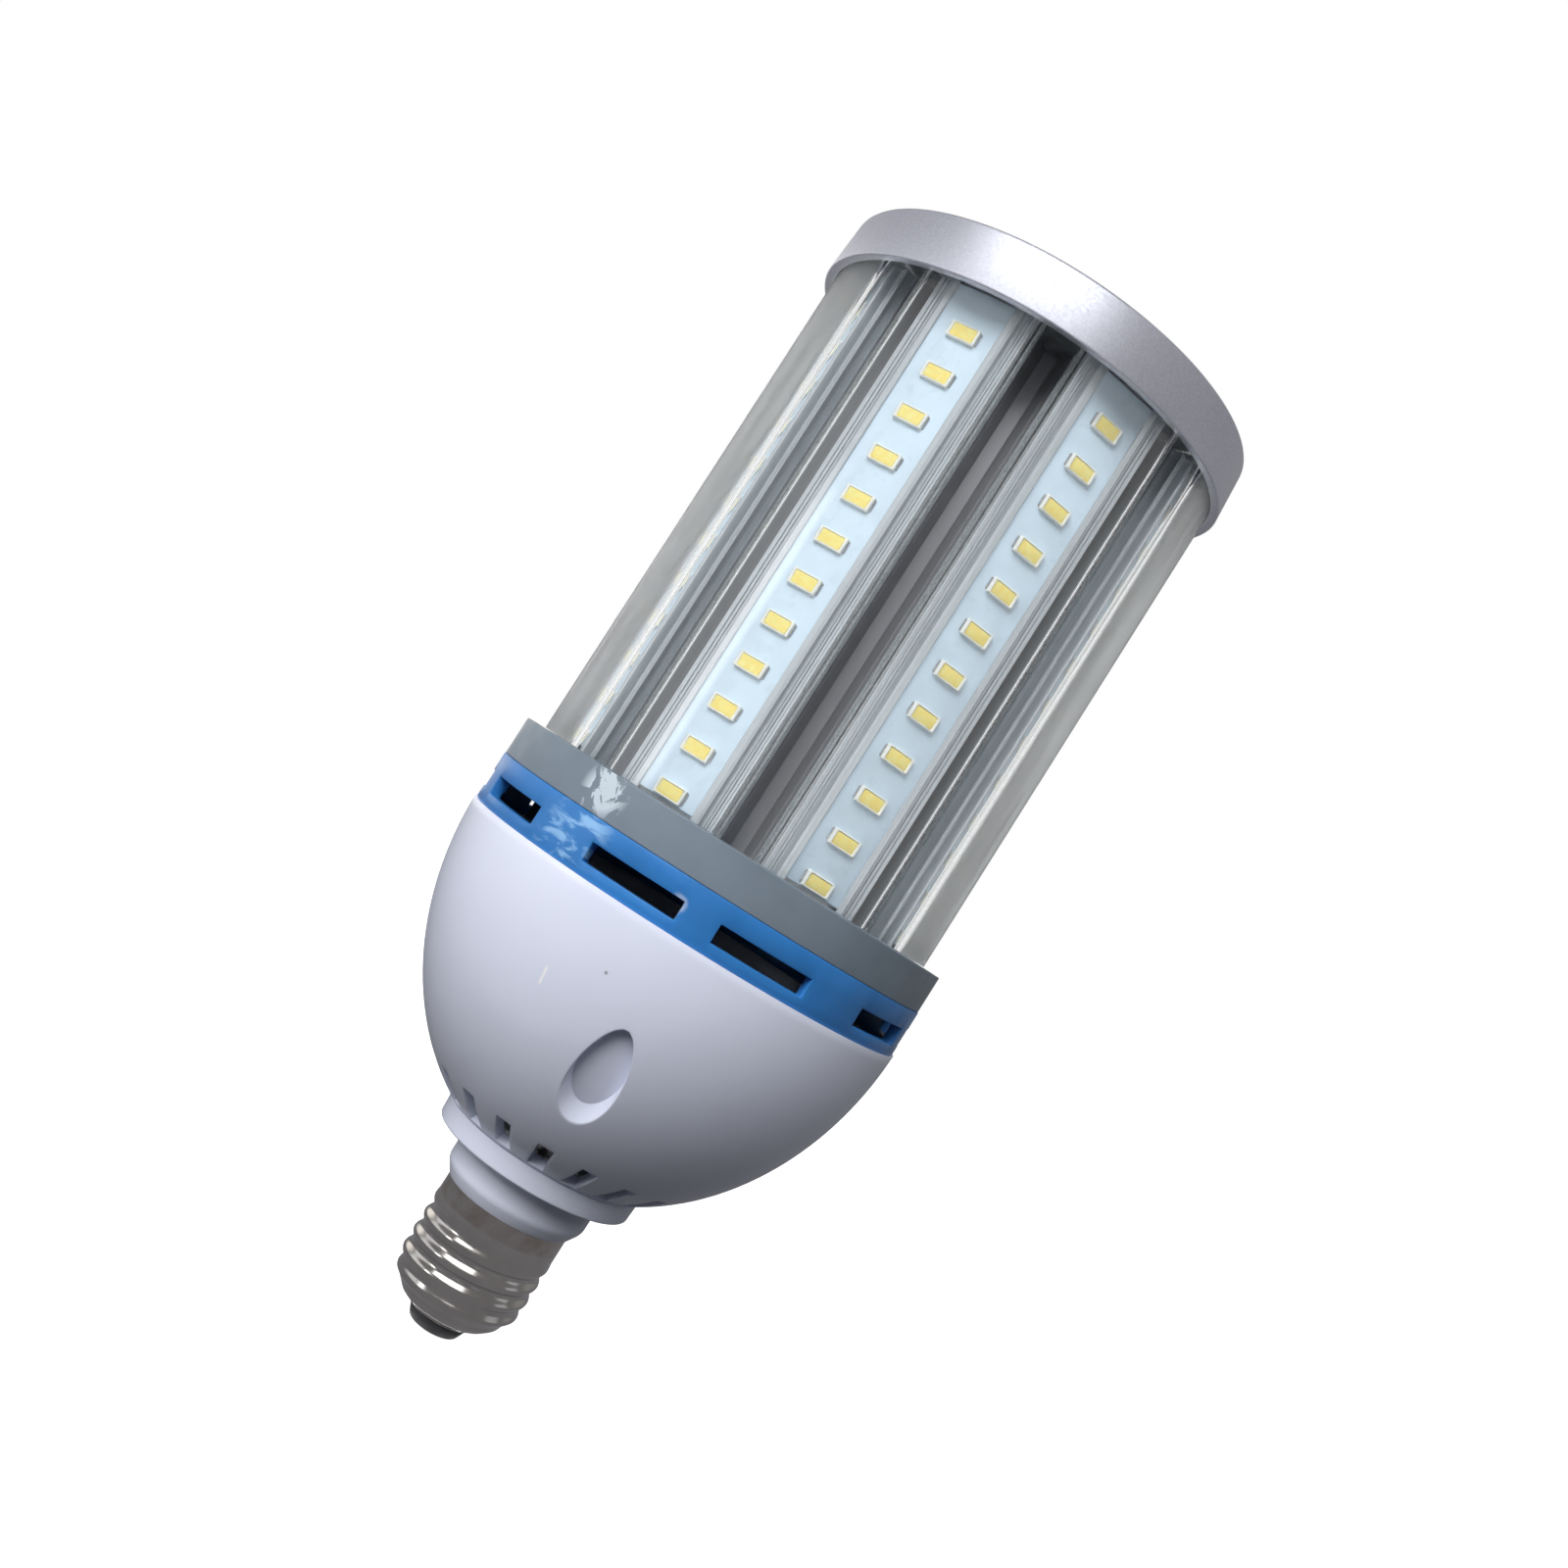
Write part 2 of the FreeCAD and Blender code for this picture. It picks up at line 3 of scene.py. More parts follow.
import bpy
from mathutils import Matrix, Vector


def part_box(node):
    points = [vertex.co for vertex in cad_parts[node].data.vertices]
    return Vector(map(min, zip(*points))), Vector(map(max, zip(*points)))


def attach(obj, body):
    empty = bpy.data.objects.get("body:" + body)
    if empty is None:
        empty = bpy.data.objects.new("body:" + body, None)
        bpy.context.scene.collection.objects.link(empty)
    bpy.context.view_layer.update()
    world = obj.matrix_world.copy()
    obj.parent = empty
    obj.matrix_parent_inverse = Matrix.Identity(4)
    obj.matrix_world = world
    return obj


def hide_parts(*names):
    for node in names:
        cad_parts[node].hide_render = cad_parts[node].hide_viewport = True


bl_info = {
    "name": "Corn LED bulb",
    "version": (1, 0, 0),
    "blender": (4, 5, 0),
    "location": "View3D > Sidebar > LED bulb",
    "description": "Builds a corn LED bulb with a screw base, its finishes and a plain studio",
    "category": "Add Mesh",
}

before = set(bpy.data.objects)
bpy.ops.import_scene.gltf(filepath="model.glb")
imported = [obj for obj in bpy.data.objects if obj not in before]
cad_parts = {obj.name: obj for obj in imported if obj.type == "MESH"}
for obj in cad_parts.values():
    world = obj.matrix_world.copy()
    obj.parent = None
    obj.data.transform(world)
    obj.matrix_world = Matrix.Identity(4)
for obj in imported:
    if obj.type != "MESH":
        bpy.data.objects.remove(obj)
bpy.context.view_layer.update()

import math

import bmesh
import bpy
from bpy.props import FloatProperty, FloatVectorProperty, PointerProperty
from mathutils import Matrix, Vector

MM = 0.001
STRIPS = 8
FIRST_STRIP = -22.1
HALF_SECTOR = math.pi / STRIPS
COLUMNS = 240


def span(node):
    """Lowest height, highest height and radius of a CAD node, in millimetres."""
    low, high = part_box(node)
    return low.z / MM, high.z / MM, high.x / MM


def tint(red, green, blue):
    """Linear colour from the red, green and blue that a screen shows."""
    shown = [value / 255 for value in (red, green, blue)]
    return [value / 12.92 if value < 0.04045 else ((value + 0.055) / 1.055) ** 2.4
            for value in shown]


def size(name, description, default):
    return FloatProperty(name=name, description=description, default=default * MM, min=0.0,
                         unit="LENGTH", precision=4)


def power(name, description, default):
    return FloatProperty(name=name, description=description, default=default, min=0.0,
                         unit="POWER")


def colour(name, description, *default):
    return FloatVectorProperty(name=name, description=description, subtype="COLOR", size=3,
                               min=0.0, max=1.0, default=tint(*default))


class BulbSizes(bpy.types.PropertyGroup):
    """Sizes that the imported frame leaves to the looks."""
    thread_pitch: size("Thread pitch", "Rise of the screw thread in one turn", 3.63)
    thread_root: size("Thread root radius", "Radius at the bottom of the thread", 12.35)
    bowl_edge: size("Bowl edge rounding", "Rounding of the bowl's rim and notches", 0.35)
    ring_edge: size("Ring edge rounding", "Rounding of the vent and seat rings", 0.25)
    cap_edge: size("Cap edge rounding", "Rounding of the end cap's outer edges", 0.7)
    pocket_edge: size("Pocket rounding", "Rounding where a screw pocket meets the bowl", 0.3)
    rib_height: size("Rib height", "Height of the fine ribs beside each board", 0.3)
    window_width: size("Phosphor width", "Width of a package's yellow window", 4.5)
    window_length: size("Phosphor length", "Length of a package's yellow window", 2.3)
    pad_reach: size("Solder reach", "Solder that shows past each end of a package", 0.35)


class BulbColours(bpy.types.PropertyGroup):
    """Colours of the finishes."""
    white: colour("White plastic", "Bowl and collar", 231, 236, 254)
    blue: colour("Blue plastic", "Vent ring", 48, 124, 196)
    grey: colour("Grey plastic", "Seat ring", 124, 137, 149)
    aluminium: colour("Aluminium", "Extruded column", 204, 210, 215)
    silver: colour("Cap silver", "Sprayed end cap", 226, 227, 236)
    nickel: colour("Nickel", "Screw shell", 208, 203, 196)
    insulator: colour("Insulator", "Plug between shell and contact", 62, 62, 64)
    board: colour("Board white", "Solder resist of the LED boards", 216, 234, 248)
    package: colour("Package white", "LED package bodies", 246, 246, 240)
    phosphor: colour("Phosphor", "Yellow windows of the packages", 250, 226, 124)


class StudioSettings(bpy.types.PropertyGroup):
    """Light and floor of the studio."""
    key_power: power("Key light", "Power of the large soft light above the front's left", 26.5)
    top_power: power("Top light", "Power of the soft light above the front's right", 1.1)
    fill_power: power("Fill light", "Power of the large fill light at the far left", 3.6)
    ambient: FloatProperty(name="Room light", description="Strength of the even light of the room",
                           default=0.06, min=0.0)
    floor: colour("Floor", "Colour of the floor", 245, 245, 245)


def sizes(name):
    return getattr(bpy.context.scene.bulb_sizes, name) / MM


def opaque(rgb):
    return tuple(rgb[:3]) + (1.0,)


def shade(name):
    return opaque(getattr(bpy.context.scene.bulb_colours, name))


def polar(radius, azimuth, height):
    """Point at a radius and an azimuth in degrees from the front, in millimetres."""
    angle = math.radians(azimuth)
    return radius * math.sin(angle), -radius * math.cos(angle), height


def smooth_step(value):
    value = min(max(value, 0.0), 1.0)
    return value * value * (3 - 2 * value)


def interpolate(value, knots, values):
    if value <= knots[0]:
        return values[0]
    for index in range(1, len(knots)):
        if value <= knots[index]:
            share = (value - knots[index - 1]) / (knots[index] - knots[index - 1])
            return values[index - 1] + share * (values[index] - values[index - 1])
    return values[-1]


# Meshes

def curve_point(start, corner, end, share):
    """Point on a short curve that leaves start towards a corner and ends at end."""
    return start * (1 - share) ** 2 + corner * 2 * share * (1 - share) + end * share ** 2


def make_piece(name, points, faces, material, sharp=35.0, edge=0.0):
    """Object from points in millimetres, welded, facing outwards, with optional rounded edges."""
    mesh = bpy.data.meshes.new(name)
    mesh.from_pydata([Vector(point) * MM for point in points], [], faces)
    work = bmesh.new()
    work.from_mesh(mesh)
    bmesh.ops.remove_doubles(work, verts=work.verts, dist=0.004 * MM)
    bmesh.ops.dissolve_degenerate(work, dist=0.002 * MM, edges=work.edges)
    bmesh.ops.recalc_face_normals(work, faces=work.faces)
    work.to_mesh(mesh)
    work.free()
    mesh.materials.append(material)
    piece = bpy.data.objects.new(name, mesh)
    bpy.context.scene.collection.objects.link(piece)
    if edge:
        bevel = piece.modifiers.new("Rounded edges", "BEVEL")
        bevel.width = edge * MM
        bevel.segments = 2
        bevel.limit_method = "ANGLE"
        bevel.angle_limit = math.radians(sharp)
        finish_modifiers(piece)
    piece.data.shade_smooth()
    piece.data.set_sharp_from_angle(angle=math.radians(sharp))
    return piece


def finish_modifiers(piece):
    """Turns the modified result into a plain mesh."""
    bpy.context.view_layer.update()
    shown = piece.evaluated_get(bpy.context.evaluated_depsgraph_get())
    mesh = bpy.data.meshes.new_from_object(shown)
    piece.modifiers.clear()
    piece.data = mesh


def placed(piece, slot, *nodes):
    """Hands a finished piece to the frame."""
    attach(piece, "root")
    if nodes:
        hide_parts(*nodes)


def rounded(corners, steps=4):
    """Outline with each corner (x, y, rounding) turned into a short curve."""
    outline = []
    for index, (x, y, rounding) in enumerate(corners):
        corner = Vector((x, y))
        if not rounding:
            outline.append((x, y))
            continue
        before = Vector(corners[index - 1][:2]) - corner
        after = Vector(corners[(index + 1) % len(corners)][:2]) - corner
        start = corner + before.normalized() * min(rounding, before.length / 2)
        end = corner + after.normalized() * min(rounding, after.length / 2)
        outline += [tuple(curve_point(start, corner, end, step / steps))
                    for step in range(steps + 1)]
    return outline


def rounded_box(x, y, width, length, rounding, steps):
    """Outline of a box about (x, y) with rounded corners."""
    return rounded([(x + across * width / 2, y + along * length / 2, rounding)
                    for across, along in ((-1, -1), (1, -1), (1, 1), (-1, 1))], steps)


def between_loops(low, high):
    """Faces between two closed loops of point numbers."""
    after = [(index + 1) % len(low) for index in range(len(low))]
    return [(low[index], low[step], high[step], high[index]) for index, step in enumerate(after)]


def lathe(profile, columns=COLUMNS, radius_at=None):
    """Points and faces of a closed profile of (radius, height) turned about the axis."""
    points, faces = [], []
    count = len(profile)
    for column in range(columns):
        azimuth = 360.0 * column / columns
        for index, (radius, height) in enumerate(profile):
            reach = radius_at(index, azimuth) if radius_at else None
            points.append(polar(radius if reach is None else reach, azimuth, height))
    for column in range(columns):
        start, after = column * count, (column + 1) % columns * count
        for index in range(count):
            step = (index + 1) % count
            faces.append((start + index, after + index, after + step, start + step))
    return points, faces


def walled(outer, inner, hollow):
    """Closed wall between two grids of points with the same rows, open at the hollow cells."""
    rows, columns = len(outer), len(outer[0])
    points = [point for grid in (outer, inner) for row in grid for point in row]
    faces = []

    def at(side, row, column):
        return (side * rows + row) * columns + column % columns

    def solid(row, column):
        return 0 <= row < rows - 1 and (row, column % columns) not in hollow

    for row in range(rows - 1):
        for column in range(columns):
            if not solid(row, column):
                continue
            for side in (0, 1):
                faces.append((at(side, row, column), at(side, row, column + 1),
                              at(side, row + 1, column + 1), at(side, row + 1, column)))
            borders = (((row - 1, column), (row, column), (row, column + 1)),
                       ((row + 1, column), (row + 1, column), (row + 1, column + 1)),
                       ((row, column - 1), (row, column), (row + 1, column)),
                       ((row, column + 1), (row, column + 1), (row + 1, column + 1)))
            for beyond, one, other in borders:
                if not solid(*beyond):
                    faces.append((at(0, *one), at(0, *other), at(1, *other), at(1, *one)))
    return points, faces


def extrusion(outline, bottom, top):
    """Points and faces of a closed plan outline of (x, y) pulled up from bottom to top."""
    count = len(outline)
    points = [(x, y, height) for height in (bottom, top) for x, y in outline]
    low, high = tuple(range(count)), tuple(range(count, 2 * count))
    return points, between_loops(low, high) + [low, high]


def block(width, length, height, place, rounding):
    """Rounded block that lies on the front, its width along X and its height towards -Y."""
    x, y, z = place
    points, faces = extrusion(rounded_box(x, z, width, length, rounding, 3), 0.0, height)
    return [(across, y - depth, along) for across, along, depth in points], faces


# Nodes

def math_node(tree, operation, *values):
    """Result of a Math node on sockets and numbers."""
    node = tree.nodes.new("ShaderNodeMath")
    node.operation = operation
    for value, target in zip(values, node.inputs):
        if isinstance(value, (int, float)):
            target.default_value = value
        else:
            tree.links.new(value, target)
    return node.outputs[0]


def show_mix(tree, share, first, second, output):
    """Shows the second shader by a share and the first for the rest."""
    mix = tree.nodes.new("ShaderNodeMixShader")
    for value, target in zip((share, first, second), mix.inputs):
        tree.links.new(value, target)
    tree.links.new(mix.outputs[0], tree.nodes[output].inputs["Surface"])

def spread_tree():
    """Node tree that copies its piece in rows up Z and then in turns about the axis."""
    found = bpy.data.node_groups.get("Spread round the axis")
    if found:
        return found
    tree = bpy.data.node_groups.new("Spread round the axis", "GeometryNodeTree")
    sockets = (("Piece", "NodeSocketGeometry"), ("Rows", "NodeSocketInt"),
               ("Row pitch", "NodeSocketFloat"), ("Copies", "NodeSocketInt"),
               ("First azimuth", "NodeSocketFloat"), ("Material", "NodeSocketMaterial"))
    for name, kind in sockets:
        tree.interface.new_socket(name=name, in_out="INPUT", socket_type=kind)
    tree.interface.new_socket(name="Result", in_out="OUTPUT", socket_type="NodeSocketGeometry")
    new, link = tree.nodes.new, tree.links.new
    given = new("NodeGroupInput").outputs

    def line(count):
        points = new("GeometryNodeMeshLine")
        points.inputs["Offset"].default_value = (0, 0, 0)
        link(count, points.inputs["Count"])
        return points

    def copied(points, piece, rotation=None):
        """Real copies of a piece on the points of a line."""
        instances = new("GeometryNodeInstanceOnPoints")
        link(points.outputs[0], instances.inputs["Points"])
        link(piece, instances.inputs["Instance"])
        if rotation:
            link(rotation, instances.inputs["Rotation"])
        real = new("GeometryNodeRealizeInstances")
        link(instances.outputs[0], real.inputs[0])
        return real.outputs[0]

    pitch = new("ShaderNodeCombineXYZ")
    link(given["Row pitch"], pitch.inputs["Z"])
    rows = line(given["Rows"])
    link(pitch.outputs[0], rows.inputs["Offset"])
    index = new("GeometryNodeInputIndex").outputs[0]
    step = math_node(tree, "DIVIDE", 2 * math.pi, given["Copies"])
    turn = new("ShaderNodeCombineXYZ")
    link(math_node(tree, "MULTIPLY_ADD", index, step, given["First azimuth"]), turn.inputs["Z"])
    rotation = new("FunctionNodeEulerToRotation")
    link(turn.outputs[0], rotation.inputs[0])
    finish = new("GeometryNodeSetMaterial")
    strip = copied(rows, given["Piece"])
    link(copied(line(given["Copies"]), strip, rotation.outputs[0]), finish.inputs["Geometry"])
    link(given["Material"], finish.inputs["Material"])
    link(finish.outputs[0], new("NodeGroupOutput").inputs[0])
    return tree


def spread(piece, copies, first_azimuth, rows=1, pitch=0.0):
    """Copies a piece built at the front up its strip and about the axis."""
    tree = spread_tree()
    values = {"Rows": rows, "Row pitch": pitch * MM, "Copies": copies,
              "First azimuth": math.radians(first_azimuth), "Material": piece.data.materials[0]}
    modifier = piece.modifiers.new("Spread", "NODES")
    modifier.node_group = tree
    for item in tree.interface.items_tree:
        if item.in_out == "INPUT" and item.name in values:
            modifier[item.identifier] = values[item.name]
    finish_modifiers(piece)
    return piece


# Finishes

class Finish:
    """A Principled material with short ways to vary it over the object."""

    def __init__(self, name, base, roughness, metallic=0.0):
        self.material = bpy.data.materials.new(name)
        self.material.use_nodes = True
        self.tree = self.material.node_tree
        self.shader = self.tree.nodes["Principled BSDF"]
        self.base = base
        self.set("Base Color", base)
        self.set("Roughness", roughness)
        self.set("Metallic", metallic)
        self.place = self.new("ShaderNodeTexCoord").outputs["Object"]
        self.relief = None

    def new(self, kind):
        return self.tree.nodes.new(kind)

    def link(self, output, target):
        self.tree.links.new(output, target)

    def set(self, name, value):
        self.shader.inputs[name].default_value = value

    def grain(self, feature, detail=2.0, stretch=(1, 1, 1), distortion=0.0):
        """Noise with features of about that many millimetres, longer where stretch is small."""
        mapping = self.new("ShaderNodeMapping")
        mapping.inputs["Scale"].default_value = [1000.0 / feature * value for value in stretch]
        self.link(self.place, mapping.inputs["Vector"])
        noise = self.new("ShaderNodeTexNoise")
        noise.inputs["Scale"].default_value = 1.0
        noise.inputs["Detail"].default_value = detail
        noise.inputs["Distortion"].default_value = distortion
        self.link(mapping.outputs[0], noise.inputs["Vector"])
        return noise.outputs["Fac"]

    def range(self, value, low, high, start=0.3, end=0.7):
        """A value brought from its span between start and end to low and high."""
        node = self.new("ShaderNodeMapRange")
        ends = {"From Min": start, "From Max": end, "To Min": low, "To Max": high}
        for name, number in ends.items():
            node.inputs[name].default_value = number
        self.link(value, node.inputs["Value"])
        return node.outputs["Result"]

    def product(self, first, second):
        return math_node(self.tree, "MULTIPLY", first, second)

    def spot(self, azimuth, height, radius, reach):
        """1 at a place on the object and 0 beyond its reach, in millimetres."""
        gap = self.new("ShaderNodeVectorMath")
        gap.operation = "DISTANCE"
        gap.inputs[1].default_value = Vector(polar(radius, azimuth, height)) * MM
        self.link(self.place, gap.inputs[0])
        return self.range(gap.outputs["Value"], 1.0, 0.0, reach * 0.6 * MM, reach * MM)

    def between(self, value, low, high, fade):
        """1 where a value lies between two bounds and 0 beyond them."""
        rise = self.range(value, 0.0, 1.0, low - fade, low)
        fall = self.range(value, 1.0, 0.0, high, high + fade)
        return self.product(rise, fall)

    def height_band(self, low, high, fade):
        """1 between two heights and 0 beyond them, in millimetres."""
        parts = self.new("ShaderNodeSeparateXYZ")
        self.link(self.place, parts.inputs[0])
        return self.between(parts.outputs["Z"], low * MM, high * MM, fade * MM)

    def turn_band(self, low, high, fade):
        """1 between two azimuths and 0 beyond them, in degrees from the front."""
        parts = self.new("ShaderNodeSeparateXYZ")
        self.link(self.place, parts.inputs[0])
        ahead = math_node(self.tree, "MULTIPLY", parts.outputs["Y"], -1.0)
        angle = math_node(self.tree, "ARCTAN2", parts.outputs["X"], ahead)
        return self.between(angle, *(math.radians(bound) for bound in (low, high, fade)))

    def inside(self, radius, fade):
        """1 nearer to the axis than a radius and 0 beyond it, in millimetres."""
        flat = self.new("ShaderNodeVectorMath")
        flat.operation = "MULTIPLY"
        flat.inputs[1].default_value = (1.0, 1.0, 0.0)
        self.link(self.place, flat.inputs[0])
        reach = self.new("ShaderNodeVectorMath")
        reach.operation = "LENGTH"
        self.link(flat.outputs[0], reach.inputs[0])
        return self.range(reach.outputs["Value"], 1.0, 0.0, (radius - fade) * MM, radius * MM)

    def paint(self, mask, other, most=1.0):
        """Mixes another colour over the base by a mask."""
        if most != 1.0:
            mask = self.range(mask, 0.0, most, 0.0, 1.0)
        mix = self.new("ShaderNodeMix")
        mix.data_type = "RGBA"
        target = self.shader.inputs["Base Color"]
        if target.is_linked:
            self.link(target.links[0].from_socket, mix.inputs[6])
        else:
            mix.inputs[6].default_value = self.base
        mix.inputs[7].default_value = opaque(other)
        self.link(mask, mix.inputs[0])
        self.link(mix.outputs[2], target)

    def vary(self, factor):
        """The base colour, darker or lighter by a factor."""
        return tuple(min(value * factor, 1.0) for value in self.base[:3])

    def mottle(self, factor, feature, detail, start=0.4, end=0.7):
        """Patches of a darker or lighter base colour."""
        noise = self.grain(feature, detail)
        self.paint(self.range(noise, 0.0, 1.0, start, end), self.vary(factor))

    def uneven(self, low, high, feature, detail, stretch=(1, 1, 1)):
        """Roughness that varies between two values."""
        noise = self.grain(feature, detail, stretch)
        self.link(self.range(noise, low, high), self.shader.inputs["Roughness"])

    def bump(self, value, depth, strength=0.5):
        node = self.new("ShaderNodeBump")
        node.inputs["Strength"].default_value = strength
        node.inputs["Distance"].default_value = depth * MM
        self.link(value, node.inputs["Height"])
        if self.relief is not None:
            self.link(self.relief, node.inputs["Normal"])
        self.relief = node.outputs[0]
        self.link(self.relief, self.shader.inputs["Normal"])


def white_plastic(name="white_plastic"):
    """Glossy moulded ABS with a faint mottle."""
    finish = Finish(name, shade("white"), 0.26)
    finish.set("Specular IOR Level", 0.5)
    finish.set("Subsurface Weight", 0.08)
    finish.set("Subsurface Radius", (0.004, 0.004, 0.004))
    finish.mottle(0.96, 14.0, 2.0, 0.2, 0.9)
    finish.bump(finish.grain(1.6, 3.0), 0.004)
    return finish


def bowl_plastic():
    """White plastic with a light scratch, a dark speck and glue at the foot with a painted glint.
    """
    finish = white_plastic("bowl_plastic")
    scratch = finish.product(finish.turn_band(-20.7, -20.3, 0.2),
                             finish.height_band(72.2, 75.0, 0.4))
    finish.paint(scratch, (1.0, 1.0, 1.0), 0.8)
    finish.paint(finish.spot(-8.7, 79.8, 46.1, 0.4), tint(120, 120, 126), 0.7)
    # Painted glint: white painted over the glue at the foot as its highlight.
    glue_with_painted_glint = finish.product(finish.spot(-6.6, 44.4, 22.0, 2.6), finish.height_band(43.9, 44.8, 0.2))
    finish.paint(glue_with_painted_glint, (1.0, 1.0, 1.0), 0.7)
    return finish.material


def blue_plastic():
    """Translucent blue plastic with a streaky painted reflection beside the second slot."""
    finish = Finish("blue_plastic", shade("blue"), 0.36)
    finish.set("Subsurface Weight", 0.12)
    finish.set("Subsurface Radius", (0.002, 0.003, 0.005))
    finish.mottle(0.82, 12.0, 3.0, 0.35, 0.7)
    streaks = finish.grain(3.0, 4.0, (0.5, 0.5, 1.6), 0.6)
    # Painted reflection: a pale streaky patch beside the second slot, where a window's reflection
    # falls.
    wear_and_painted_reflection = finish.product(finish.spot(-31.0, 95.0, 46.7, 8.5),
                          finish.range(streaks, 0.0, 1.0, 0.5, 0.62))
    finish.paint(wear_and_painted_reflection, tint(150, 196, 236), 0.75)
    mark = finish.product(finish.spot(-4.0, 95.6, 46.7, 2.0),
                          finish.range(streaks, 0.0, 1.0, 0.42, 0.55))
    finish.paint(mark, tint(176, 196, 224), 0.8)
    finish.uneven(0.28, 0.48, 5.0, 4.0)
    finish.bump(finish.grain(1.2, 3.0), 0.012)
    return finish.material


def grey_plastic():
    """Grey plastic with a painted reflection, broken up, at its left."""
    finish = Finish("grey_plastic", shade("grey"), 0.42)
    finish.mottle(0.86, 10.0, 3.0, 0.35, 0.7)
    reflection_breakup = finish.range(finish.grain(4.2, 3.0, (1, 1, 1), 1.4), 0.0, 1.0, 0.5, 0.53)
    # Painted reflection: a pale broken-up patch at the ring's left, where a window's reflection
    # falls.
    painted_reflection_patch = finish.product(finish.spot(-30.5, 104.8, 46.56, 5.4), reflection_breakup)
    finish.paint(painted_reflection_patch, tint(208, 220, 230), 0.85)
    finish.uneven(0.34, 0.52, 6.0, 4.0)
    finish.bump(finish.grain(1.2, 3.0), 0.015)
    return finish.material


def nickel():
    """Warm nickel plate with soft stains and a brown tinge under the collar."""
    finish = Finish("nickel", shade("nickel"), 0.16, 1.0)
    finish.mottle(0.86, 5.0, 3.0, 0.3, 0.8)
    stain = finish.product(finish.height_band(24.2, 27.5, 0.4),
                           finish.range(finish.grain(4.0, 3.0), 0.0, 1.0))
    finish.paint(stain, tint(150, 128, 108), 0.5)
    finish.uneven(0.12, 0.22, 2.4, 3.0)
    finish.bump(finish.grain(0.9, 2.0), 0.002)
    return finish.material


def black_insulator():
    finish = Finish("insulator_black", shade("insulator"), 0.5)
    finish.mottle(1.5, 2.5, 4.0)
    finish.uneven(0.4, 0.65, 1.5, 3.0)
    finish.bump(finish.grain(0.8, 3.0), 0.03)
    return finish.material


def even_finish(name, base, roughness, metallic, mottle, grain, depth):
    """Finish of even roughness, from the numbers of its mottle and of its bumps' grain."""
    finish = Finish(name, base, roughness, metallic)
    finish.mottle(*mottle)
    finish.bump(finish.grain(*grain), depth)
    return finish.material


def contact_metal():
    return even_finish("contact_metal", opaque(tint(146, 144, 138)), 0.38, 1.0,
                       (0.55, 1.4, 4.0), (0.6, 3.0), 0.02)


def aluminium():
    """Extruded aluminium with die lines along its length and painted shade deep in its grooves."""
    finish = Finish("extruded_aluminium", shade("aluminium"), 0.42, 0.6)
    lines = finish.grain(0.35, 2.0, (1, 1, 0.004))
    finish.paint(finish.range(lines, 0.0, 1.0, 0.4, 0.7), finish.vary(0.86))
    patches = finish.grain(7.0, 3.0, (1, 1, 0.3))
    finish.paint(finish.range(patches, 0.0, 0.5, 0.45, 0.7), finish.vary(0.85))
    # Painted shade: darker grey nearer the axis, in the grooves, where they lie in shade.
    finish.paint(finish.inside(35.6, 0.8), tint(176, 177, 180))
    finish.uneven(0.38, 0.5, 0.5, 2.0, (1, 1, 0.006))
    finish.bump(lines, 0.008, 0.4)
    return finish.material


def cap_silver():
    """Silver spray with a fine sparkle."""
    finish = Finish("silver_cap", shade("silver"), 0.42, 0.85)
    finish.mottle(0.9, 0.5, 2.0, 0.35, 0.65)
    finish.paint(finish.range(finish.grain(0.35, 1.0), 0.0, 0.5, 0.7, 0.76), (1.0, 1.0, 1.0))
    finish.uneven(0.38, 0.5, 0.6, 2.0)
    finish.bump(finish.grain(0.5, 2.0), 0.006)
    return finish.material


def steel_screw():
    return even_finish("steel_screw", opaque(tint(176, 174, 170)), 0.3, 1.0,
                       (0.7, 1.5, 3.0), (0.4, 2.0), 0.01)


def board_white():
    """White solder resist over an aluminium board, with faint patches."""
    finish = Finish("board_white", shade("board"), 0.3)
    finish.mottle(0.93, 5.0, 3.0)
    finish.uneven(0.24, 0.4, 3.0, 3.0)
    finish.bump(finish.grain(0.8, 3.0), 0.01)
    return finish.material


def package_white():
    return even_finish("package_white", shade("package"), 0.35, 0.0,
                       (0.93, 1.2, 2.0), (0.5, 2.0), 0.008)


def phosphor():
    """Silicone with phosphor, paler in small patches."""
    finish = Finish("led_yellow", shade("phosphor"), 0.25)
    finish.set("Coat Weight", 0.3)
    finish.paint(finish.range(finish.grain(1.0, 2.0), 0.0, 1.0, 0.35, 0.7), tint(248, 236, 150))
    finish.bump(finish.grain(0.5, 2.0), 0.006)
    return finish.material


def clear_plastic():
    """Clear polycarbonate, less clear edge on, that lets the lamps through to the boards."""
    finish = Finish("clear_plastic", (0.97, 0.98, 0.98, 1.0), 0.04)
    finish.set("IOR", 1.5)
    finish.set("Transmission Weight", 1.0)
    edge_on = finish.new("ShaderNodeLayerWeight").outputs["Facing"]
    haze = finish.range(edge_on, 0.02, 0.75, 0.46, 0.56)
    wear_and_painted_reflection = finish.range(finish.grain(6.0, 4.0, (1, 1, 0.15)), 0.8, 1.3)
    finish.link(finish.product(haze, wear_and_painted_reflection), finish.shader.inputs["Roughness"])
    path = finish.new("ShaderNodeLightPath")
    open_film = finish.new("ShaderNodeBsdfTransparent")
    open_film.inputs[0].default_value = (0.94, 0.95, 0.95, 1.0)
    show_mix(finish.tree, path.outputs["Is Shadow Ray"], finish.shader.outputs[0],
             open_film.outputs[0], "Material Output")
    return finish.material


def plain_finish(name, red, green, blue, roughness, feature, metallic=0.0):
    finish = Finish(name, opaque(tint(red, green, blue)), roughness, metallic)
    finish.mottle(0.75, feature, 3.0)
    finish.uneven(roughness * 0.8, roughness * 1.25, feature, 3.0)
    finish.bump(finish.grain(feature / 3, 2.0), 0.02)
    return finish.material


# Pieces

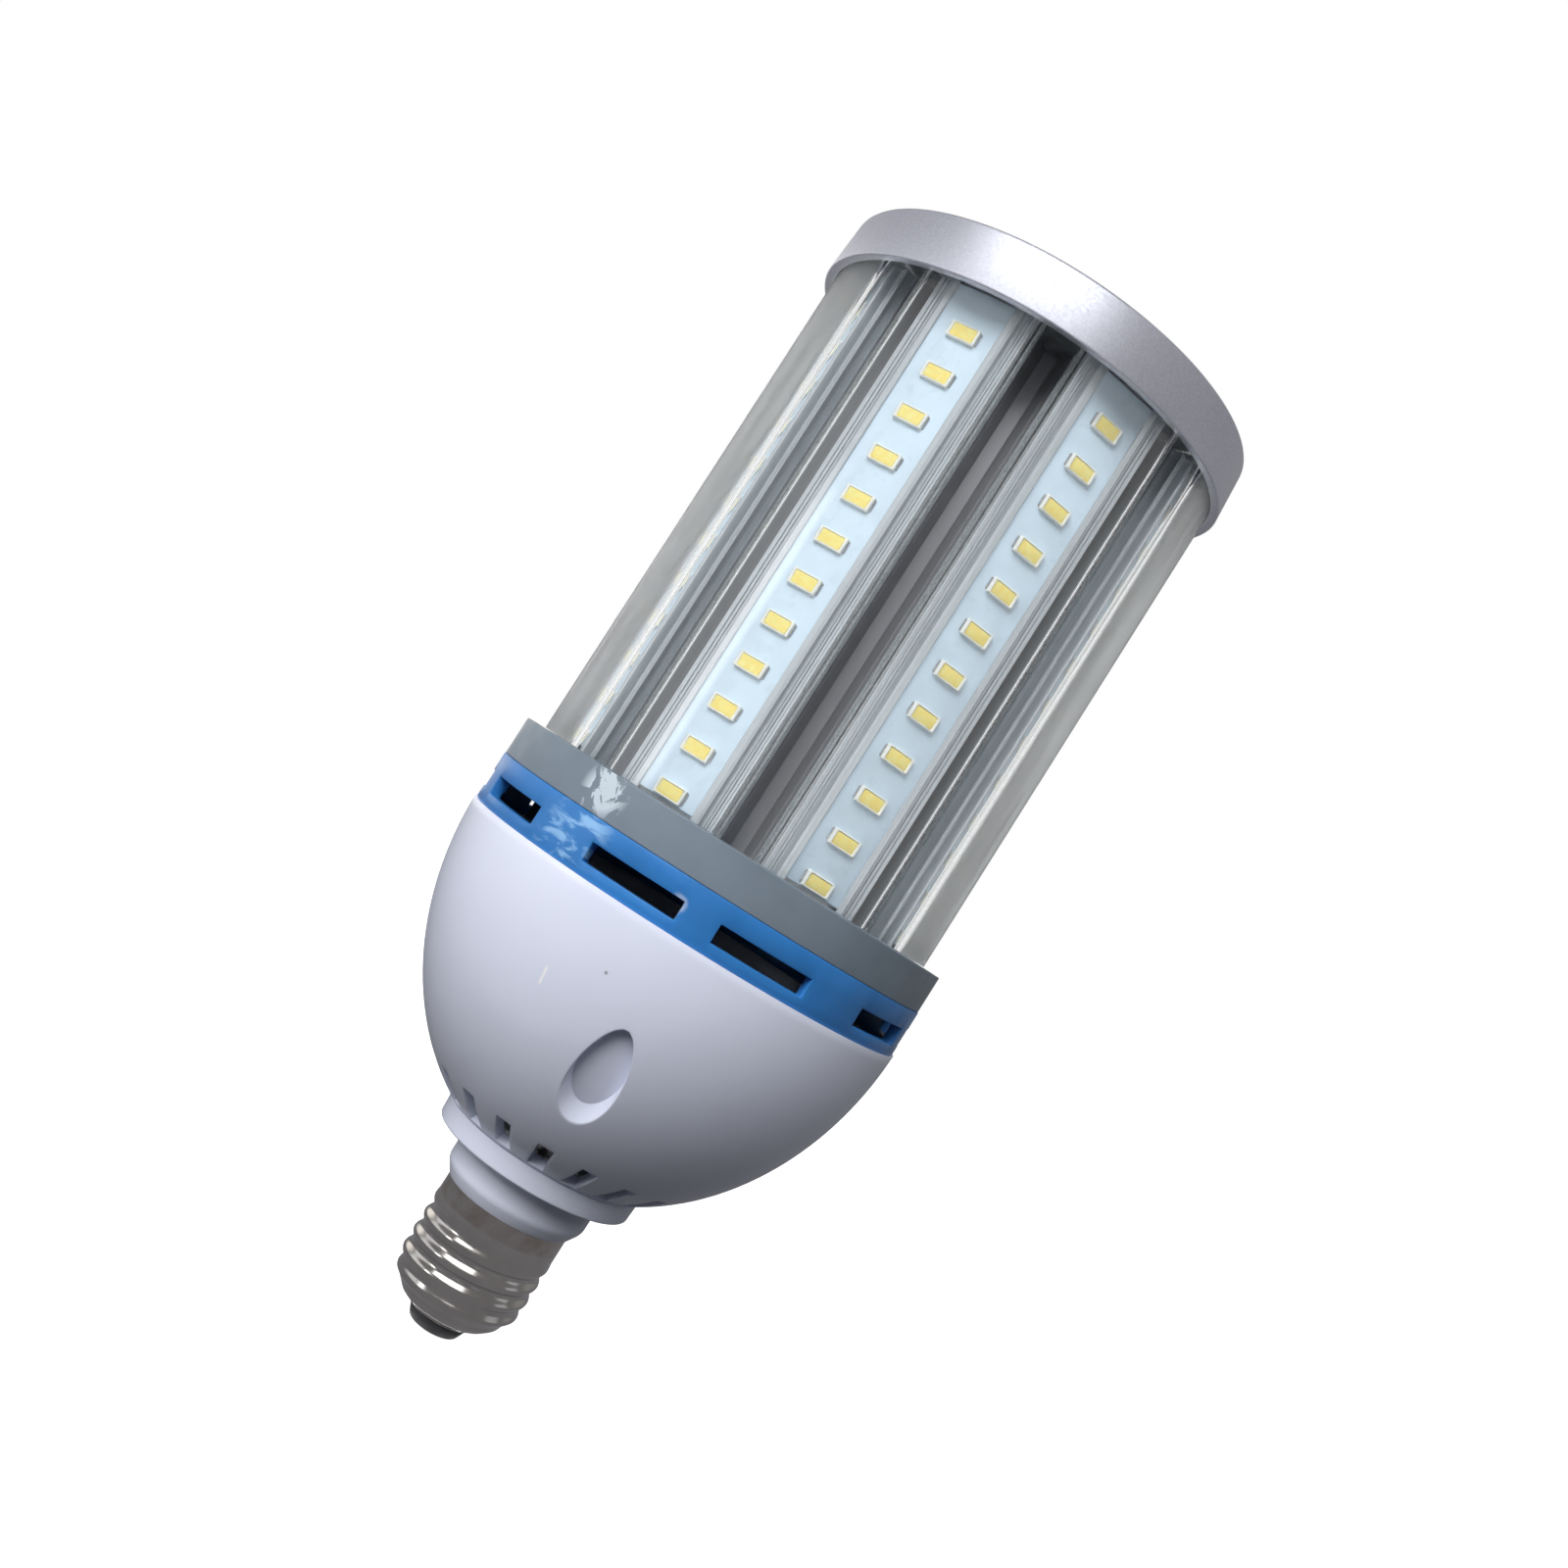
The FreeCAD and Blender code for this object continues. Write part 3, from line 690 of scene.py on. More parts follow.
# Screw shell: radii of the thread's roots and crests at heights near the tip, height of a crest
# at the front, turns from there to the thread's end, radius of the plain band, and wall
SHELL_HEIGHTS = (3.4, 3.9, 4.84, 6.26, 7.68, 9.32, 10.6)
SHELL_ROOTS = (6.95, 7.71, 9.29, 10.69, 11.6, 12.1, 12.35)
SHELL_CRESTS = (6.95, 7.75, 9.4, 11.0, 12.2, 12.9, 13.1)
CREST_HEIGHT = 19.5
LAST_TURN = 1.014
BAND_RADIUS = 12.95
SHELL_WALL = 0.5


def thread_radius(azimuth, height, pitch, root_radius):
    """Radius of the rolled thread, which runs out into the plain band at its last turn."""
    turns = (height - CREST_HEIGHT) / pitch
    turn = round(turns - azimuth / 360) + azimuth / 360
    offset = turns - turn
    ridge = 0.5 + 0.5 * math.cos(2 * math.pi * offset)
    root = interpolate(height, SHELL_HEIGHTS, SHELL_ROOTS[:-1] + (root_radius,))
    crest = interpolate(height, SHELL_HEIGHTS, SHELL_CRESTS)
    valley_turn = turn if offset > 0 else turn - 1
    to_band = smooth_step((valley_turn - LAST_TURN + 1.1) / 0.2)
    valley = root + (BAND_RADIUS - root) * to_band
    fade = smooth_step((LAST_TURN - turn) / 0.17)
    top = BAND_RADIUS + (crest - BAND_RADIUS) * fade if turn > 0 else crest
    return valley + (top - valley) * ridge


def screw_shell():
    bottom, top, _ = span("screw_shell")
    pitch, root_radius = sizes("thread_pitch"), sizes("thread_root")
    rows, columns = 136, 160
    heights = [bottom + (top - bottom) * row / rows for row in range(rows + 1)]
    azimuths = [360.0 * column / columns - 180.0 for column in range(columns)]
    outer = [[polar(thread_radius(azimuth, height, pitch, root_radius), azimuth, height)
              for azimuth in azimuths] for height in heights]
    inner = [[polar(interpolate(height, SHELL_HEIGHTS, SHELL_ROOTS) - SHELL_WALL, azimuth, height)
              for azimuth in azimuths] for height in heights]
    piece = make_piece("thread_shell", *walled(outer, inner, set()), nickel(), 50.0)
    placed(piece, "nickel", "screw_shell")


def insulator_and_contact():
    bottom, _, _ = span("base_insulator")
    plug = rounded([(0, bottom + 0.5, 0), (4.9, bottom + 0.5, 0), (4.95, bottom, 0.2),
                    (5.15, bottom, 0.3), (6.45, 3.4, 0.25), (8.6, 5.6, 0), (0, 5.6, 0)])
    piece = make_piece("insulating_plug", *lathe(plug, 120), black_insulator())
    placed(piece, "insulator_black", "base_insulator")
    button = rounded([(0, 0, 0), (2.6, 0, 1.0), (4.85, 0.6, 0.5), (4.85, 1.2, 0), (0, 1.2, 0)])
    piece = make_piece("centre_contact", *lathe(button, 120), contact_metal())
    placed(piece, "contact_metal", "contact_button")


def collar():
    """Collar and flange, with soft moulded edges and the neck inside the shell."""
    bottom, top, radius = span("base_collar")
    seat = span("screw_shell")[1]
    shoulder, flange, neck, hub = seat + 8.85, seat + 13.1, 12.35, 17.4
    profile = rounded([
        (9.8, bottom, 0), (neck, bottom, 0.3), (neck, seat, 0), (13.2, seat, 0.25),
        (14.85, seat + 2.6, 0.8), (14.85, shoulder, 0.5), (radius - 0.25, shoulder, 0.5),
        (radius, flange, 0.3), (hub, flange, 0), (hub, top, 0.3), (9.8, top, 0.3)])
    piece = make_piece("collar_body", *lathe(profile), white_plastic().material)
    placed(piece, "white_plastic", "base_collar")


# The bowl's half ellipse, whose centre lies above the rim, its wall and the radius of its foot
BOWL_RADIUS, BOWL_RISE, BOWL_CENTRE, BOWL_WALL, BOWL_FOOT = 47.08, 57.3, 1.3, 2.2, 17.5
# Vent notches: count, turn from one to the next, first azimuth, half width, foot and head above
# the bowl's bottom, and half the turn that the mesh's columns give to a notch
NOTCHES, NOTCH_TURN, NOTCH_FIRST = 20, 18.0, 0.4
NOTCH_HALF, NOTCH_FOOT, NOTCH_HEAD, NOTCH_SHARE = 1.65, 0.8, 6.1, 3.2
# Screw pockets: count, radius, circle, first azimuth, ceiling under the rim, and the patch of the
# bowl's mesh that each replaces
POCKETS, POCKET_RADIUS, POCKET_CIRCLE, POCKET_FIRST, POCKET_CEILING = 3, 4.6, 39.9, 1.4, 6.7
PATCH_HEAD, PATCH_HALF = 76.4, 10.5


def bowl_radius(height, centre, inset=0.0):
    share = (centre - height) / (BOWL_RISE - inset)
    return (BOWL_RADIUS - inset) * math.sqrt(max(1 - share * share, 0.0))


def bowl_height(radius, centre):
    return centre - BOWL_RISE * math.sqrt(max(1 - (radius / BOWL_RADIUS) ** 2, 0.0))


def pocket_rings(border, azimuth, centre, ceiling, edge):
    """Rings of points from a patch's border in to a pocket's rounded mouth and up its wall."""
    middle = Vector(polar(POCKET_CIRCLE, azimuth, 0)[:2])
    rings = []
    for share in (0.06, 0.15, 0.27, 0.4, 0.55, 0.7, 0.83, 0.93, 1.0):
        ring = []
        for point in border:
            away = Vector(point[:2]) - middle
            reach = away.length + (POCKET_RADIUS + edge - away.length) * share
            plan = middle + away.normalized() * reach
            ring.append((plan.x, plan.y, bowl_height(plan.length, centre)))
        rings.append(ring)
    mouth = rings[-1]
    for share in (0.25, 0.5, 0.75, 1.0):
        ring = []
        for point in mouth:
            away = (Vector(point[:2]) - middle).normalized()
            plan = middle + away * POCKET_RADIUS
            corner = Vector((plan.x, plan.y, bowl_height(plan.length, centre)))
            end = corner + Vector((0, 0, edge))
            ring.append(tuple(curve_point(Vector(point), corner, end, share)))
        rings.append(ring)
    low_ring = rings[-1]
    for share in (0.33, 0.66, 1.0):
        rings.append([(x, y, z + (ceiling - z) * share) for x, y, z in low_ring])
    rings.append([(middle.x, middle.y, ceiling)] * len(border))
    return rings


def steps_to(low, high, count):
    """Even steps from a value, which is left out, to another."""
    return [low + (high - low) * step / count for step in range(1, count + 1)]


def notch_offset(azimuth):
    """Degrees from the middle of the nearest notch."""
    return (azimuth - NOTCH_FIRST + NOTCH_TURN / 2) % NOTCH_TURN - NOTCH_TURN / 2


def bowl_azimuths():
    """Columns of the bowl's mesh, four of them over each notch."""
    azimuths = []
    for notch in range(NOTCHES):
        middle = NOTCH_FIRST + NOTCH_TURN * notch
        azimuths += [middle + step * NOTCH_SHARE / 2 for step in (-2, -1, 0, 1, 2)]
        azimuths += [middle + NOTCH_SHARE + (NOTCH_TURN - 2 * NOTCH_SHARE) * k / 8
                     for k in range(1, 8)]
    return sorted(azimuths)


def bowl_shell():
    """Thin bowl with vent notches round its foot and three rounded screw pockets."""
    bottom, top, _ = span("driver_bowl")
    centre, ceiling = top + BOWL_CENTRE, top - POCKET_CEILING
    notch_low, notch_high = bottom + NOTCH_FOOT, bottom + NOTCH_HEAD
    heights = [bottom, notch_low] + steps_to(notch_low, notch_high, 4)
    heights += [notch_high + 0.9 * k for k in range(1, 8)]
    patch_low = heights[-1]
    heights += steps_to(patch_low, PATCH_HEAD, 14) + steps_to(PATCH_HEAD, top, 9)
    azimuths = bowl_azimuths()
    edge = NOTCH_TURN / 2

    def remapped(azimuth, height):
        """Moves the columns so that a notch keeps its width as the bowl widens."""
        half = math.degrees(math.asin(NOTCH_HALF / bowl_radius(max(height, notch_low), centre)))
        half += (NOTCH_SHARE - half) * smooth_step((height - notch_high) / 5.0)
        offset = notch_offset(azimuth)
        shown = interpolate(offset, (-edge, -NOTCH_SHARE, NOTCH_SHARE, edge),
                            (-edge, -half, half, edge))
        return azimuth - offset + shown

    outer = [[polar(BOWL_FOOT, azimuth, bottom) for azimuth in azimuths]]
    inner = [[polar(BOWL_FOOT, azimuth, bottom + BOWL_WALL) for azimuth in azimuths]]
    for height in heights:
        level = max(height, bottom + BOWL_WALL + 0.3)
        reach, inner_reach = bowl_radius(height, centre), bowl_radius(level, centre, BOWL_WALL)
        shown = [remapped(azimuth, height) for azimuth in azimuths]
        outer.append([polar(reach, azimuth, height) for azimuth in shown])
        inner.append([polar(inner_reach, azimuth, level) for azimuth in shown])
    notch_rows = [row for row in range(1, len(heights))
                  if notch_low <= heights[row - 1] < notch_high - 0.01]
    hollow = {(row, column) for column, azimuth in enumerate(azimuths) for row in notch_rows
              if -NOTCH_SHARE <= notch_offset(azimuth + 0.01) < NOTCH_SHARE - 0.02}
    points, faces = walled(outer, inner, hollow)
    columns = len(azimuths)
    patch_rows = [row for row in range(len(outer) - 1)
                  if patch_low - 0.01 <= outer[row][0][2] < PATCH_HEAD - 0.01]
    low, high = patch_rows[0], patch_rows[-1] + 1
    drop = set()
    for pocket in range(POCKETS):
        azimuth = POCKET_FIRST + 120.0 * pocket
        near = [column for column in range(columns)
                if abs((azimuths[column] - azimuth + 180.0) % 360.0 - 180.0) < PATCH_HALF]
        near.sort(key=lambda column: (azimuths[column] - azimuth + 180.0) % 360.0)
        border = [low * columns + column for column in near]
        border += [row * columns + near[-1] for row in range(low + 1, high)]
        border += [high * columns + column for column in reversed(near)]
        border += [row * columns + near[0] for row in range(high - 1, low, -1)]
        drop.update(tuple(sorted(level * columns + side % columns
                                 for level in (row, row + 1) for side in (column, column + 1)))
                    for row in patch_rows for column in near[:-1])
        rings = pocket_rings([points[index] for index in border], azimuth, centre, ceiling,
                             sizes("pocket_edge"))
        loop = border
        for ring in rings:
            after = list(range(len(points), len(points) + len(ring)))
            points += ring
            faces += between_loops(loop, after)
            loop = after
    faces = [face for face in faces if tuple(sorted(face)) not in drop]
    piece = make_piece("bowl_shell", points, faces, bowl_plastic(), 40.0, sizes("bowl_edge"))
    placed(piece, "white_plastic", "driver_bowl")


# Vent ring: middle of the first pair of slots, turn from there to a slot, half a slot's turn, foot
# and head above the ring's bottom, columns of the mesh over a slot, and the ring's radii
SLOT_FIRST, SLOT_ASIDE, SLOT_HALF = 1.5, 15.95, 11.65
SLOT_FOOT, SLOT_HEAD, SLOT_COLUMNS = 2.3, 5.8, 14
VENT_RADIUS, VENT_INNER = 46.7, 44.4


def vent_band():
    """Blue ring with five pairs of slots."""
    bottom, top, _ = span("vent_ring")
    heights = [bottom, bottom + SLOT_FOOT, bottom + SLOT_HEAD, top]
    middles = sorted(SLOT_FIRST + 72.0 * pair + side
                     for pair in range(5) for side in (-SLOT_ASIDE, SLOT_ASIDE))
    starts = [middle - SLOT_HALF for middle in middles]
    azimuths, hollow = [], set()
    for middle, start, following in zip(middles, starts, starts[1:] + [starts[0] + 360.0]):
        end = middle + SLOT_HALF
        hollow.update((1, len(azimuths) + k) for k in range(SLOT_COLUMNS))
        azimuths += [start + (end - start) * k / SLOT_COLUMNS for k in range(SLOT_COLUMNS)]
        count = max(round((following - end) / 1.7), 2)
        azimuths += [end + (following - end) * k / count for k in range(count)]
    outer, inner = ([[polar(radius, azimuth, height) for azimuth in azimuths]
                     for height in heights] for radius in (VENT_RADIUS, VENT_INNER))
    piece = make_piece("vent_band", *walled(outer, inner, hollow), blue_plastic(), 35.0,
                       sizes("ring_edge"))
    placed(piece, "blue_plastic", "vent_ring")


SEAT_RADIUS, SEAT_INNER, SEAT_PLATE, SEAT_HOLE = 46.56, 44.26, 2.5, 16.0


def seat_band():
    """Grey ring and plate that carry the column, with the three posts under them."""
    bottom, top, _ = span("seat_ring")
    low, edge, plate = span("vent_ring")[1], sizes("ring_edge"), top - SEAT_PLATE
    profile = rounded([(SEAT_INNER, low, 0), (SEAT_RADIUS, low, edge),
                       (SEAT_RADIUS, top, edge * 1.6)])
    profile += [(40.0, top), (30.0, top), (SEAT_HOLE, top), (SEAT_HOLE, plate),
                (SEAT_INNER, plate)]
    hole = len(profile) - 3

    def reach(index, azimuth):
        """Radius of the plate's eight-sided hole, for the profile's points at the hole."""
        if index not in (hole, hole + 1):
            return None
        turn = math.radians((azimuth + 22.5) % 45.0 - 22.5)
        return SEAT_HOLE * math.cos(HALF_SECTOR) / math.cos(turn)

    band = make_piece("seat_band", *lathe(profile, COLUMNS, reach), grey_plastic())
    placed(band, "grey_plastic", "seat_ring")
    middle = (bottom + top - SEAT_PLATE) / 2
    points, faces = block(6.8, plate - bottom, 6.8, (0, -36.5, middle), 0.4)
    posts = make_piece("seat_posts", points, faces, band.data.materials[0])
    placed(spread(posts, POCKETS, POCKET_FIRST), "grey_plastic")


BOARD_SEAT, BOARD_WIDTH, BOARD_HEIGHT = 36.9, 14.0, 1.2


def sector_point(along, aside):
    """Point in the plan of one strip, counted from the groove plane beside it."""
    out = along * math.cos(HALF_SECTOR) + aside * math.sin(HALF_SECTOR)
    side = along * math.sin(HALF_SECTOR) - aside * math.cos(HALF_SECTOR)
    return out, side


def turned_outline(half):
    """Closed plan outline from half a strip, mirrored and repeated round the axis."""
    whole = [(out, -side) for out, side in reversed(half)] + list(half)
    outline = []
    for strip in range(STRIPS):
        angle = math.radians(FIRST_STRIP + 360.0 * strip / STRIPS)
        for out, side in whole:
            outline.append((side * math.cos(angle) + out * math.sin(angle),
                            side * math.sin(angle) - out * math.cos(angle)))
    return outline


def column():
    """Extruded column: board lips, fine ribs, hooks for the covers and deep grooves."""
    bottom, top, _ = span("heat_sink")
    seat, rib = BOARD_SEAT, sizes("rib_height")
    half = [(seat + rise, side) for rise, side in (
        (0, 7.1), (1.22, 7.1), (1.22, 5.8), (1.4, 5.72), (1.6, 5.9), (1.6, 6.85), (1.45, 7.0),
        (1.2, 7.3), (0, 7.3))]
    for start in (7.75, 8.25, 9.0):
        half += [(seat, start), (seat + rib, start + 0.1), (seat + rib, start + 0.28),
                 (seat, start + 0.38)]
    half.append((seat, 10.0))
    half += [sector_point(along, aside) for along, aside in (
        (35.25, 4.88), (35.25, 6.38), (33.75, 6.38), (33.75, 5.1), (33.3, 4.95), (33.3, 3.6),
        (31.6, 3.0), (31.4, 3.2), (31.0, 2.75), (27.5, 1.3))]
    inner_half = [(34.6, 10.6), sector_point(25.2, 2.91)]
    outlines = turned_outline(half), turned_outline(inner_half)
    work = bmesh.new()
    layers = [[[work.verts.new(Vector((x, y, height)) * MM) for x, y in outline]
               for outline in outlines] for height in (bottom, top)]
    for low, high in zip(*layers):
        for corners in between_loops(low, high):
            work.faces.new(corners)
    for loops in layers:
        rim = [work.edges.get((loop[index], loop[(index + 1) % len(loop)]))
               for loop in loops for index in range(len(loop))]
        bmesh.ops.triangle_fill(work, use_beauty=True, edges=rim)
    points = [tuple(corner.co / MM) for corner in work.verts]
    work.verts.index_update()
    faces = [tuple(corner.index for corner in face.verts) for face in work.faces]
    work.free()
    piece = make_piece("column", points, faces, aluminium(), 25.0)
    placed(piece, "extruded_aluminium", "heat_sink")


def strip_nodes(name):
    return ["%s_%d" % (name, strip + 1) for strip in range(STRIPS)]


def led_boards():
    bottom, top, _ = span("led_board_1")
    place = (0, -BOARD_SEAT, (bottom + top) / 2)
    points, faces = block(BOARD_WIDTH, top - bottom, BOARD_HEIGHT, place, 0.5)
    piece = make_piece("led_boards", points, faces, board_white(), 35.0, 0.08)
    placed(spread(piece, STRIPS, FIRST_STRIP), "board_white", *strip_nodes("led_board"))


PACKAGE_WIDTH, PACKAGE_LENGTH = 5.7, 3.0


def led_packages():
    """Twelve packages on each board: body, yellow window and solder."""
    first, _, _ = span("led_packages_1")
    face = -38.1
    middle = first + PACKAGE_LENGTH / 2
    width, length = sizes("window_width"), sizes("window_length")
    repeats = STRIPS, FIRST_STRIP, 12, 8.52
    points, faces = package_body(face, middle, width, length)
    body = make_piece("package_bodies", points, faces, package_white())
    placed(spread(body, *repeats), "board_white", *strip_nodes("led_packages"))
    points, faces = block(width, length, 0.75, (0, face, middle), 0.3)
    window = make_piece("phosphor_windows", points, faces, phosphor(), 35.0, 0.06)
    placed(spread(window, *repeats), "led_yellow")
    reach = PACKAGE_WIDTH + 2 * sizes("pad_reach")
    solder = make_piece("solder_pads", *block(reach, 2.5, 0.16, (0, face, middle), 0.3),
                        plain_finish("solder", 168, 172, 178, 0.3, 1.0, 1.0), 35.0, 0.05)
    placed(spread(solder, *repeats), "board_white")


def package_body(face, middle, width, length):
    """White body with a sunk window whose sides slope in."""
    outlines = ((PACKAGE_WIDTH, PACKAGE_LENGTH, 0.0, 0.25),
                (PACKAGE_WIDTH, PACKAGE_LENGTH, 0.75, 0.25), (5.45, 2.75, 0.9, 0.25),
                (width + 0.35, length + 0.3, 0.9, 0.3), (width, length, 0.6, 0.3))
    points, loops = [], []
    for across, along, depth, rounding in outlines:
        ring = rounded_box(0.0, middle, across, along, rounding, 2)
        loops.append(tuple(range(len(points), len(points) + len(ring))))
        points += [(x, face - depth, z) for x, z in ring]
    faces = [loops[0], loops[-1]]
    for low, high in zip(loops, loops[1:]):
        faces += between_loops(low, high)
    return points, faces


def cover_half(radius, aside, rounding, foot_along):
    """Half outline of a cover's skin, from the middle of its face down to its foot."""
    centre_aside = aside + rounding
    centre_along = math.sqrt((radius - rounding) ** 2 - centre_aside ** 2)
    out, side = sector_point(centre_along, centre_aside)
    face_angle = math.atan2(side, out)
    points = [(radius * math.cos(face_angle * k / 12), radius * math.sin(face_angle * k / 12))
              for k in range(12)]
    end_angle = HALF_SECTOR + math.pi / 2
    for k in range(9):
        angle = face_angle + (end_angle - face_angle) * k / 8
        points.append((out + rounding * math.cos(angle), side + rounding * math.sin(angle)))
    points.append(sector_point(foot_along, aside))
    return points


def clear_covers():
    """C-shaped clear covers hooked into the column's grooves."""
    bottom, top, _ = span("clear_cover_1")
    outer = cover_half(42.92, 3.53, 2.4, 33.9)
    inner = cover_half(41.72, 4.73, 1.2, 35.1)
    toe = [sector_point(33.9, 6.23), sector_point(35.1, 6.23)]
    half = outer + toe + list(reversed(inner))
    mirror = [(out, -side) for out, side in reversed(half)]
    outline = [(side, -out) for out, side in half + mirror[1:-1]]
    points, faces = extrusion(outline, bottom + 0.05, top)
    piece = make_piece("clear_covers", points, faces, clear_plastic(), 30.0)
    placed(spread(piece, STRIPS, FIRST_STRIP), "clear_plastic", *strip_nodes("clear_cover"))


def cap_shell():
    """Silver cap with a rounded lip and top, hollow above the column's end, and its gasket."""
    low, top, _ = span("end_cap")
    seat, edge = span("heat_sink")[1], sizes("cap_edge")
    pocket, plate, hollow = 43.05, 40.6, top - 2.2
    profile = rounded([
        (0, top, 0), (44.2, top, edge), (44.9, low, edge * 0.5), (pocket, low, edge * 0.4),
        (pocket, seat, 0.3), (plate, seat, 0), (plate, hollow, 0.5), (0, hollow, 0)])
    placed(make_piece("cap_shell", *lathe(profile), cap_silver()), "silver_cap", "end_cap")
    bore, under, over = 26.5, seat + 0.02, seat + 0.5
    gasket = lathe([(bore, under), (pocket, under), (pocket, over), (bore, over)])
    finish = plain_finish("gasket", 120, 124, 128, 0.6, 3.0)
    placed(make_piece("cap_gasket", *gasket, finish), "silver_cap")


def screw_points(seat, head, length, way, circle, radius=3.0):
    """Pan-head screw at the front of a circle, with a cross slot; way is the head's side."""
    end = seat - way * length
    shank = lathe(rounded([(0, seat, 0), (1.45, seat, 0), (1.45, end, 0.3), (0, end, 0)]), 16)
    points, loops = [], []
    for share, rise in ((1.0, 0.0), (1.0, 0.45), (0.93, 0.75), (0.72, 0.97)):
        loops.append(tuple(range(len(points), len(points) + 32)))
        reach, height = radius * share, seat + way * head * rise
        points += [(reach * math.cos(math.pi * k / 16), reach * math.sin(math.pi * k / 16), height)
                   for k in range(32)]
    faces = [loops[0]]
    for low, high in zip(loops, loops[1:]):
        faces += between_loops(low, high)
    arm, width = radius * 0.55, radius * 0.13
    cross = [(arm, -width), (arm, width), (width, width), (width, arm), (-width, arm),
             (-width, width), (-arm, width), (-arm, -width), (-width, -width), (-width, -arm),
             (width, -arm), (width, -width)]
    start = len(points)
    points += [(x, y, seat + way * head) for x, y in cross]
    points += [(x * 0.8, y * 0.8, seat + way * head * 0.35) for x, y in cross]
    slot_floor = tuple(range(start + 12, start + 24))
    faces += between_loops(range(start, start + 12), slot_floor) + [slot_floor]
    angles = [math.atan2(y, x) % (2 * math.pi) for x, y in cross]
    owner = [min(range(12), key=lambda k: abs((angles[k] - math.pi * place / 16 + math.pi)
                                              % (2 * math.pi) - math.pi)) for place in range(32)]
    for place in range(32):
        after = (place + 1) % 32
        step = owner[place]
        faces.append((loops[-1][place], loops[-1][after], start + step))
        while step != owner[after]:
            faces.append((start + step, loops[-1][after], start + (step + 1) % 12))
            step = (step + 1) % 12
    offset = len(points)
    points += shank[0]
    faces += [tuple(index + offset for index in face) for face in shank[1]]
    return [(x, y - circle, z) for x, y, z in points], faces


def screws():
    """Three screws in the bowl's pockets and four long ones through the cap."""
    steel = steel_screw()
    ceiling = span("driver_bowl")[1] - POCKET_CEILING
    points, faces = screw_points(ceiling, 2.0, 12.0, -1, POCKET_CIRCLE)
    piece = make_piece("pocket_screws", points, faces, steel)
    placed(spread(piece, POCKETS, POCKET_FIRST), "steel_screw", "bowl_screws")
    seat, low = span("end_cap")[1], span("cap_rods")[0]
    points, faces = screw_points(seat, 2.0, seat - low, 1, 20.0)
    piece = make_piece("cap_screws", points, faces, steel)
    placed(spread(piece, 4, FIRST_STRIP), "steel_screw", "cap_rods")


def dress_driver():
    """Finishes for the driver's parts and leads, which keep their CAD shapes."""
    looks = {
        "driver_board": ("board_green", 40, 96, 62, 0.35, 4.0),
        "transformer": ("winding_tape", 214, 190, 84, 0.45, 3.0),
        "filter_capacitor": ("capacitor_sleeve", 36, 38, 44, 0.3, 5.0),
        "input_choke": ("choke_winding", 150, 86, 48, 0.35, 1.2),
        "film_capacitor": ("film_case", 172, 52, 40, 0.35, 4.0),
        "rectifier": ("rectifier_case", 34, 34, 36, 0.4, 3.0),
        "fuse": ("fuse_case", 84, 88, 92, 0.4, 3.0),
        "input_lead": ("lead_sleeve", 190, 40, 36, 0.4, 2.0),
        "output_leads": ("output_sleeve", 44, 44, 48, 0.4, 2.0),
    }
    for node, look in looks.items():
        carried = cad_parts[node]
        carried.data.materials.clear()
        carried.data.materials.append(plain_finish(*look))


# Stage

EYE = Vector((0.0, -297.43, 109.31)) * MM
YAW, PITCH, ROLL, LEAN = (math.radians(angle) for angle in (-3.178, 2.382, -0.484, 31.9))


def place_camera():
    """Camera at the photograph's angle, rolled so that the upright bulb leans as it does there."""
    side = Vector((math.cos(YAW), math.sin(YAW), 0))
    ahead = Vector((-math.sin(YAW), math.cos(YAW), 0))
    up = Vector((0, 0, 1)) * math.cos(PITCH) - ahead * math.sin(PITCH)
    right_level = side * math.cos(ROLL) - up * math.sin(ROLL)
    up_level = side * math.sin(ROLL) + up * math.cos(ROLL)
    right = right_level * math.cos(LEAN) + up_level * math.sin(LEAN)
    top = up_level * math.cos(LEAN) - right_level * math.sin(LEAN)
    back = right.cross(top)
    data = bpy.data.cameras.new("bulb_camera")
    data.lens = 35.10
    data.sensor_width = 36.0
    data.shift_x, data.shift_y = -0.0389, 0.0326
    data.clip_start = 0.01
    camera = bpy.data.objects.new("bulb_camera", data)
    turned = Matrix((right, top, back)).transposed().to_4x4()
    camera.matrix_world = Matrix.Translation(EYE) @ turned
    bpy.context.scene.collection.objects.link(camera)
    bpy.context.scene.camera = camera


# Name, width, place and target, in metres
LIGHTS = (
    ("key", 1.0, (-0.607, -1.051, 1.0), (0, 0, 0.12)),
    ("top", 0.5, (0.42, -0.3, 0.6), (0, 0, 0.12)),
    ("fill", 1.0, (-1.2, -0.3, 0.05), (0, 0, 0.08)),
)


def soft_light(name, energy, width, place, target):
    data = bpy.data.lights.new(name, "AREA")
    data.shape = "SQUARE"
    data.size = width
    data.energy = energy
    light = bpy.data.objects.new(name, data)
    light.location = place
    aim = Vector(target) - Vector(place)
    light.rotation_euler = aim.to_track_quat("-Z", "Y").to_euler()
    light.visible_glossy = False
    light.visible_transmission = False
    bpy.context.scene.collection.objects.link(light)


def seen_rays(tree):
    """1 for the rays that show the background, up to their first diffuse bounce."""
    path = tree.nodes.new("ShaderNodeLightPath").outputs
    seen = math_node(tree, "MAXIMUM", path["Is Camera Ray"], path["Is Glossy Ray"])
    seen = math_node(tree, "MAXIMUM", seen, path["Is Transmission Ray"])
    direct = math_node(tree, "LESS_THAN", path["Diffuse Depth"], 0.5)
    return math_node(tree, "MULTIPLY", seen, direct)


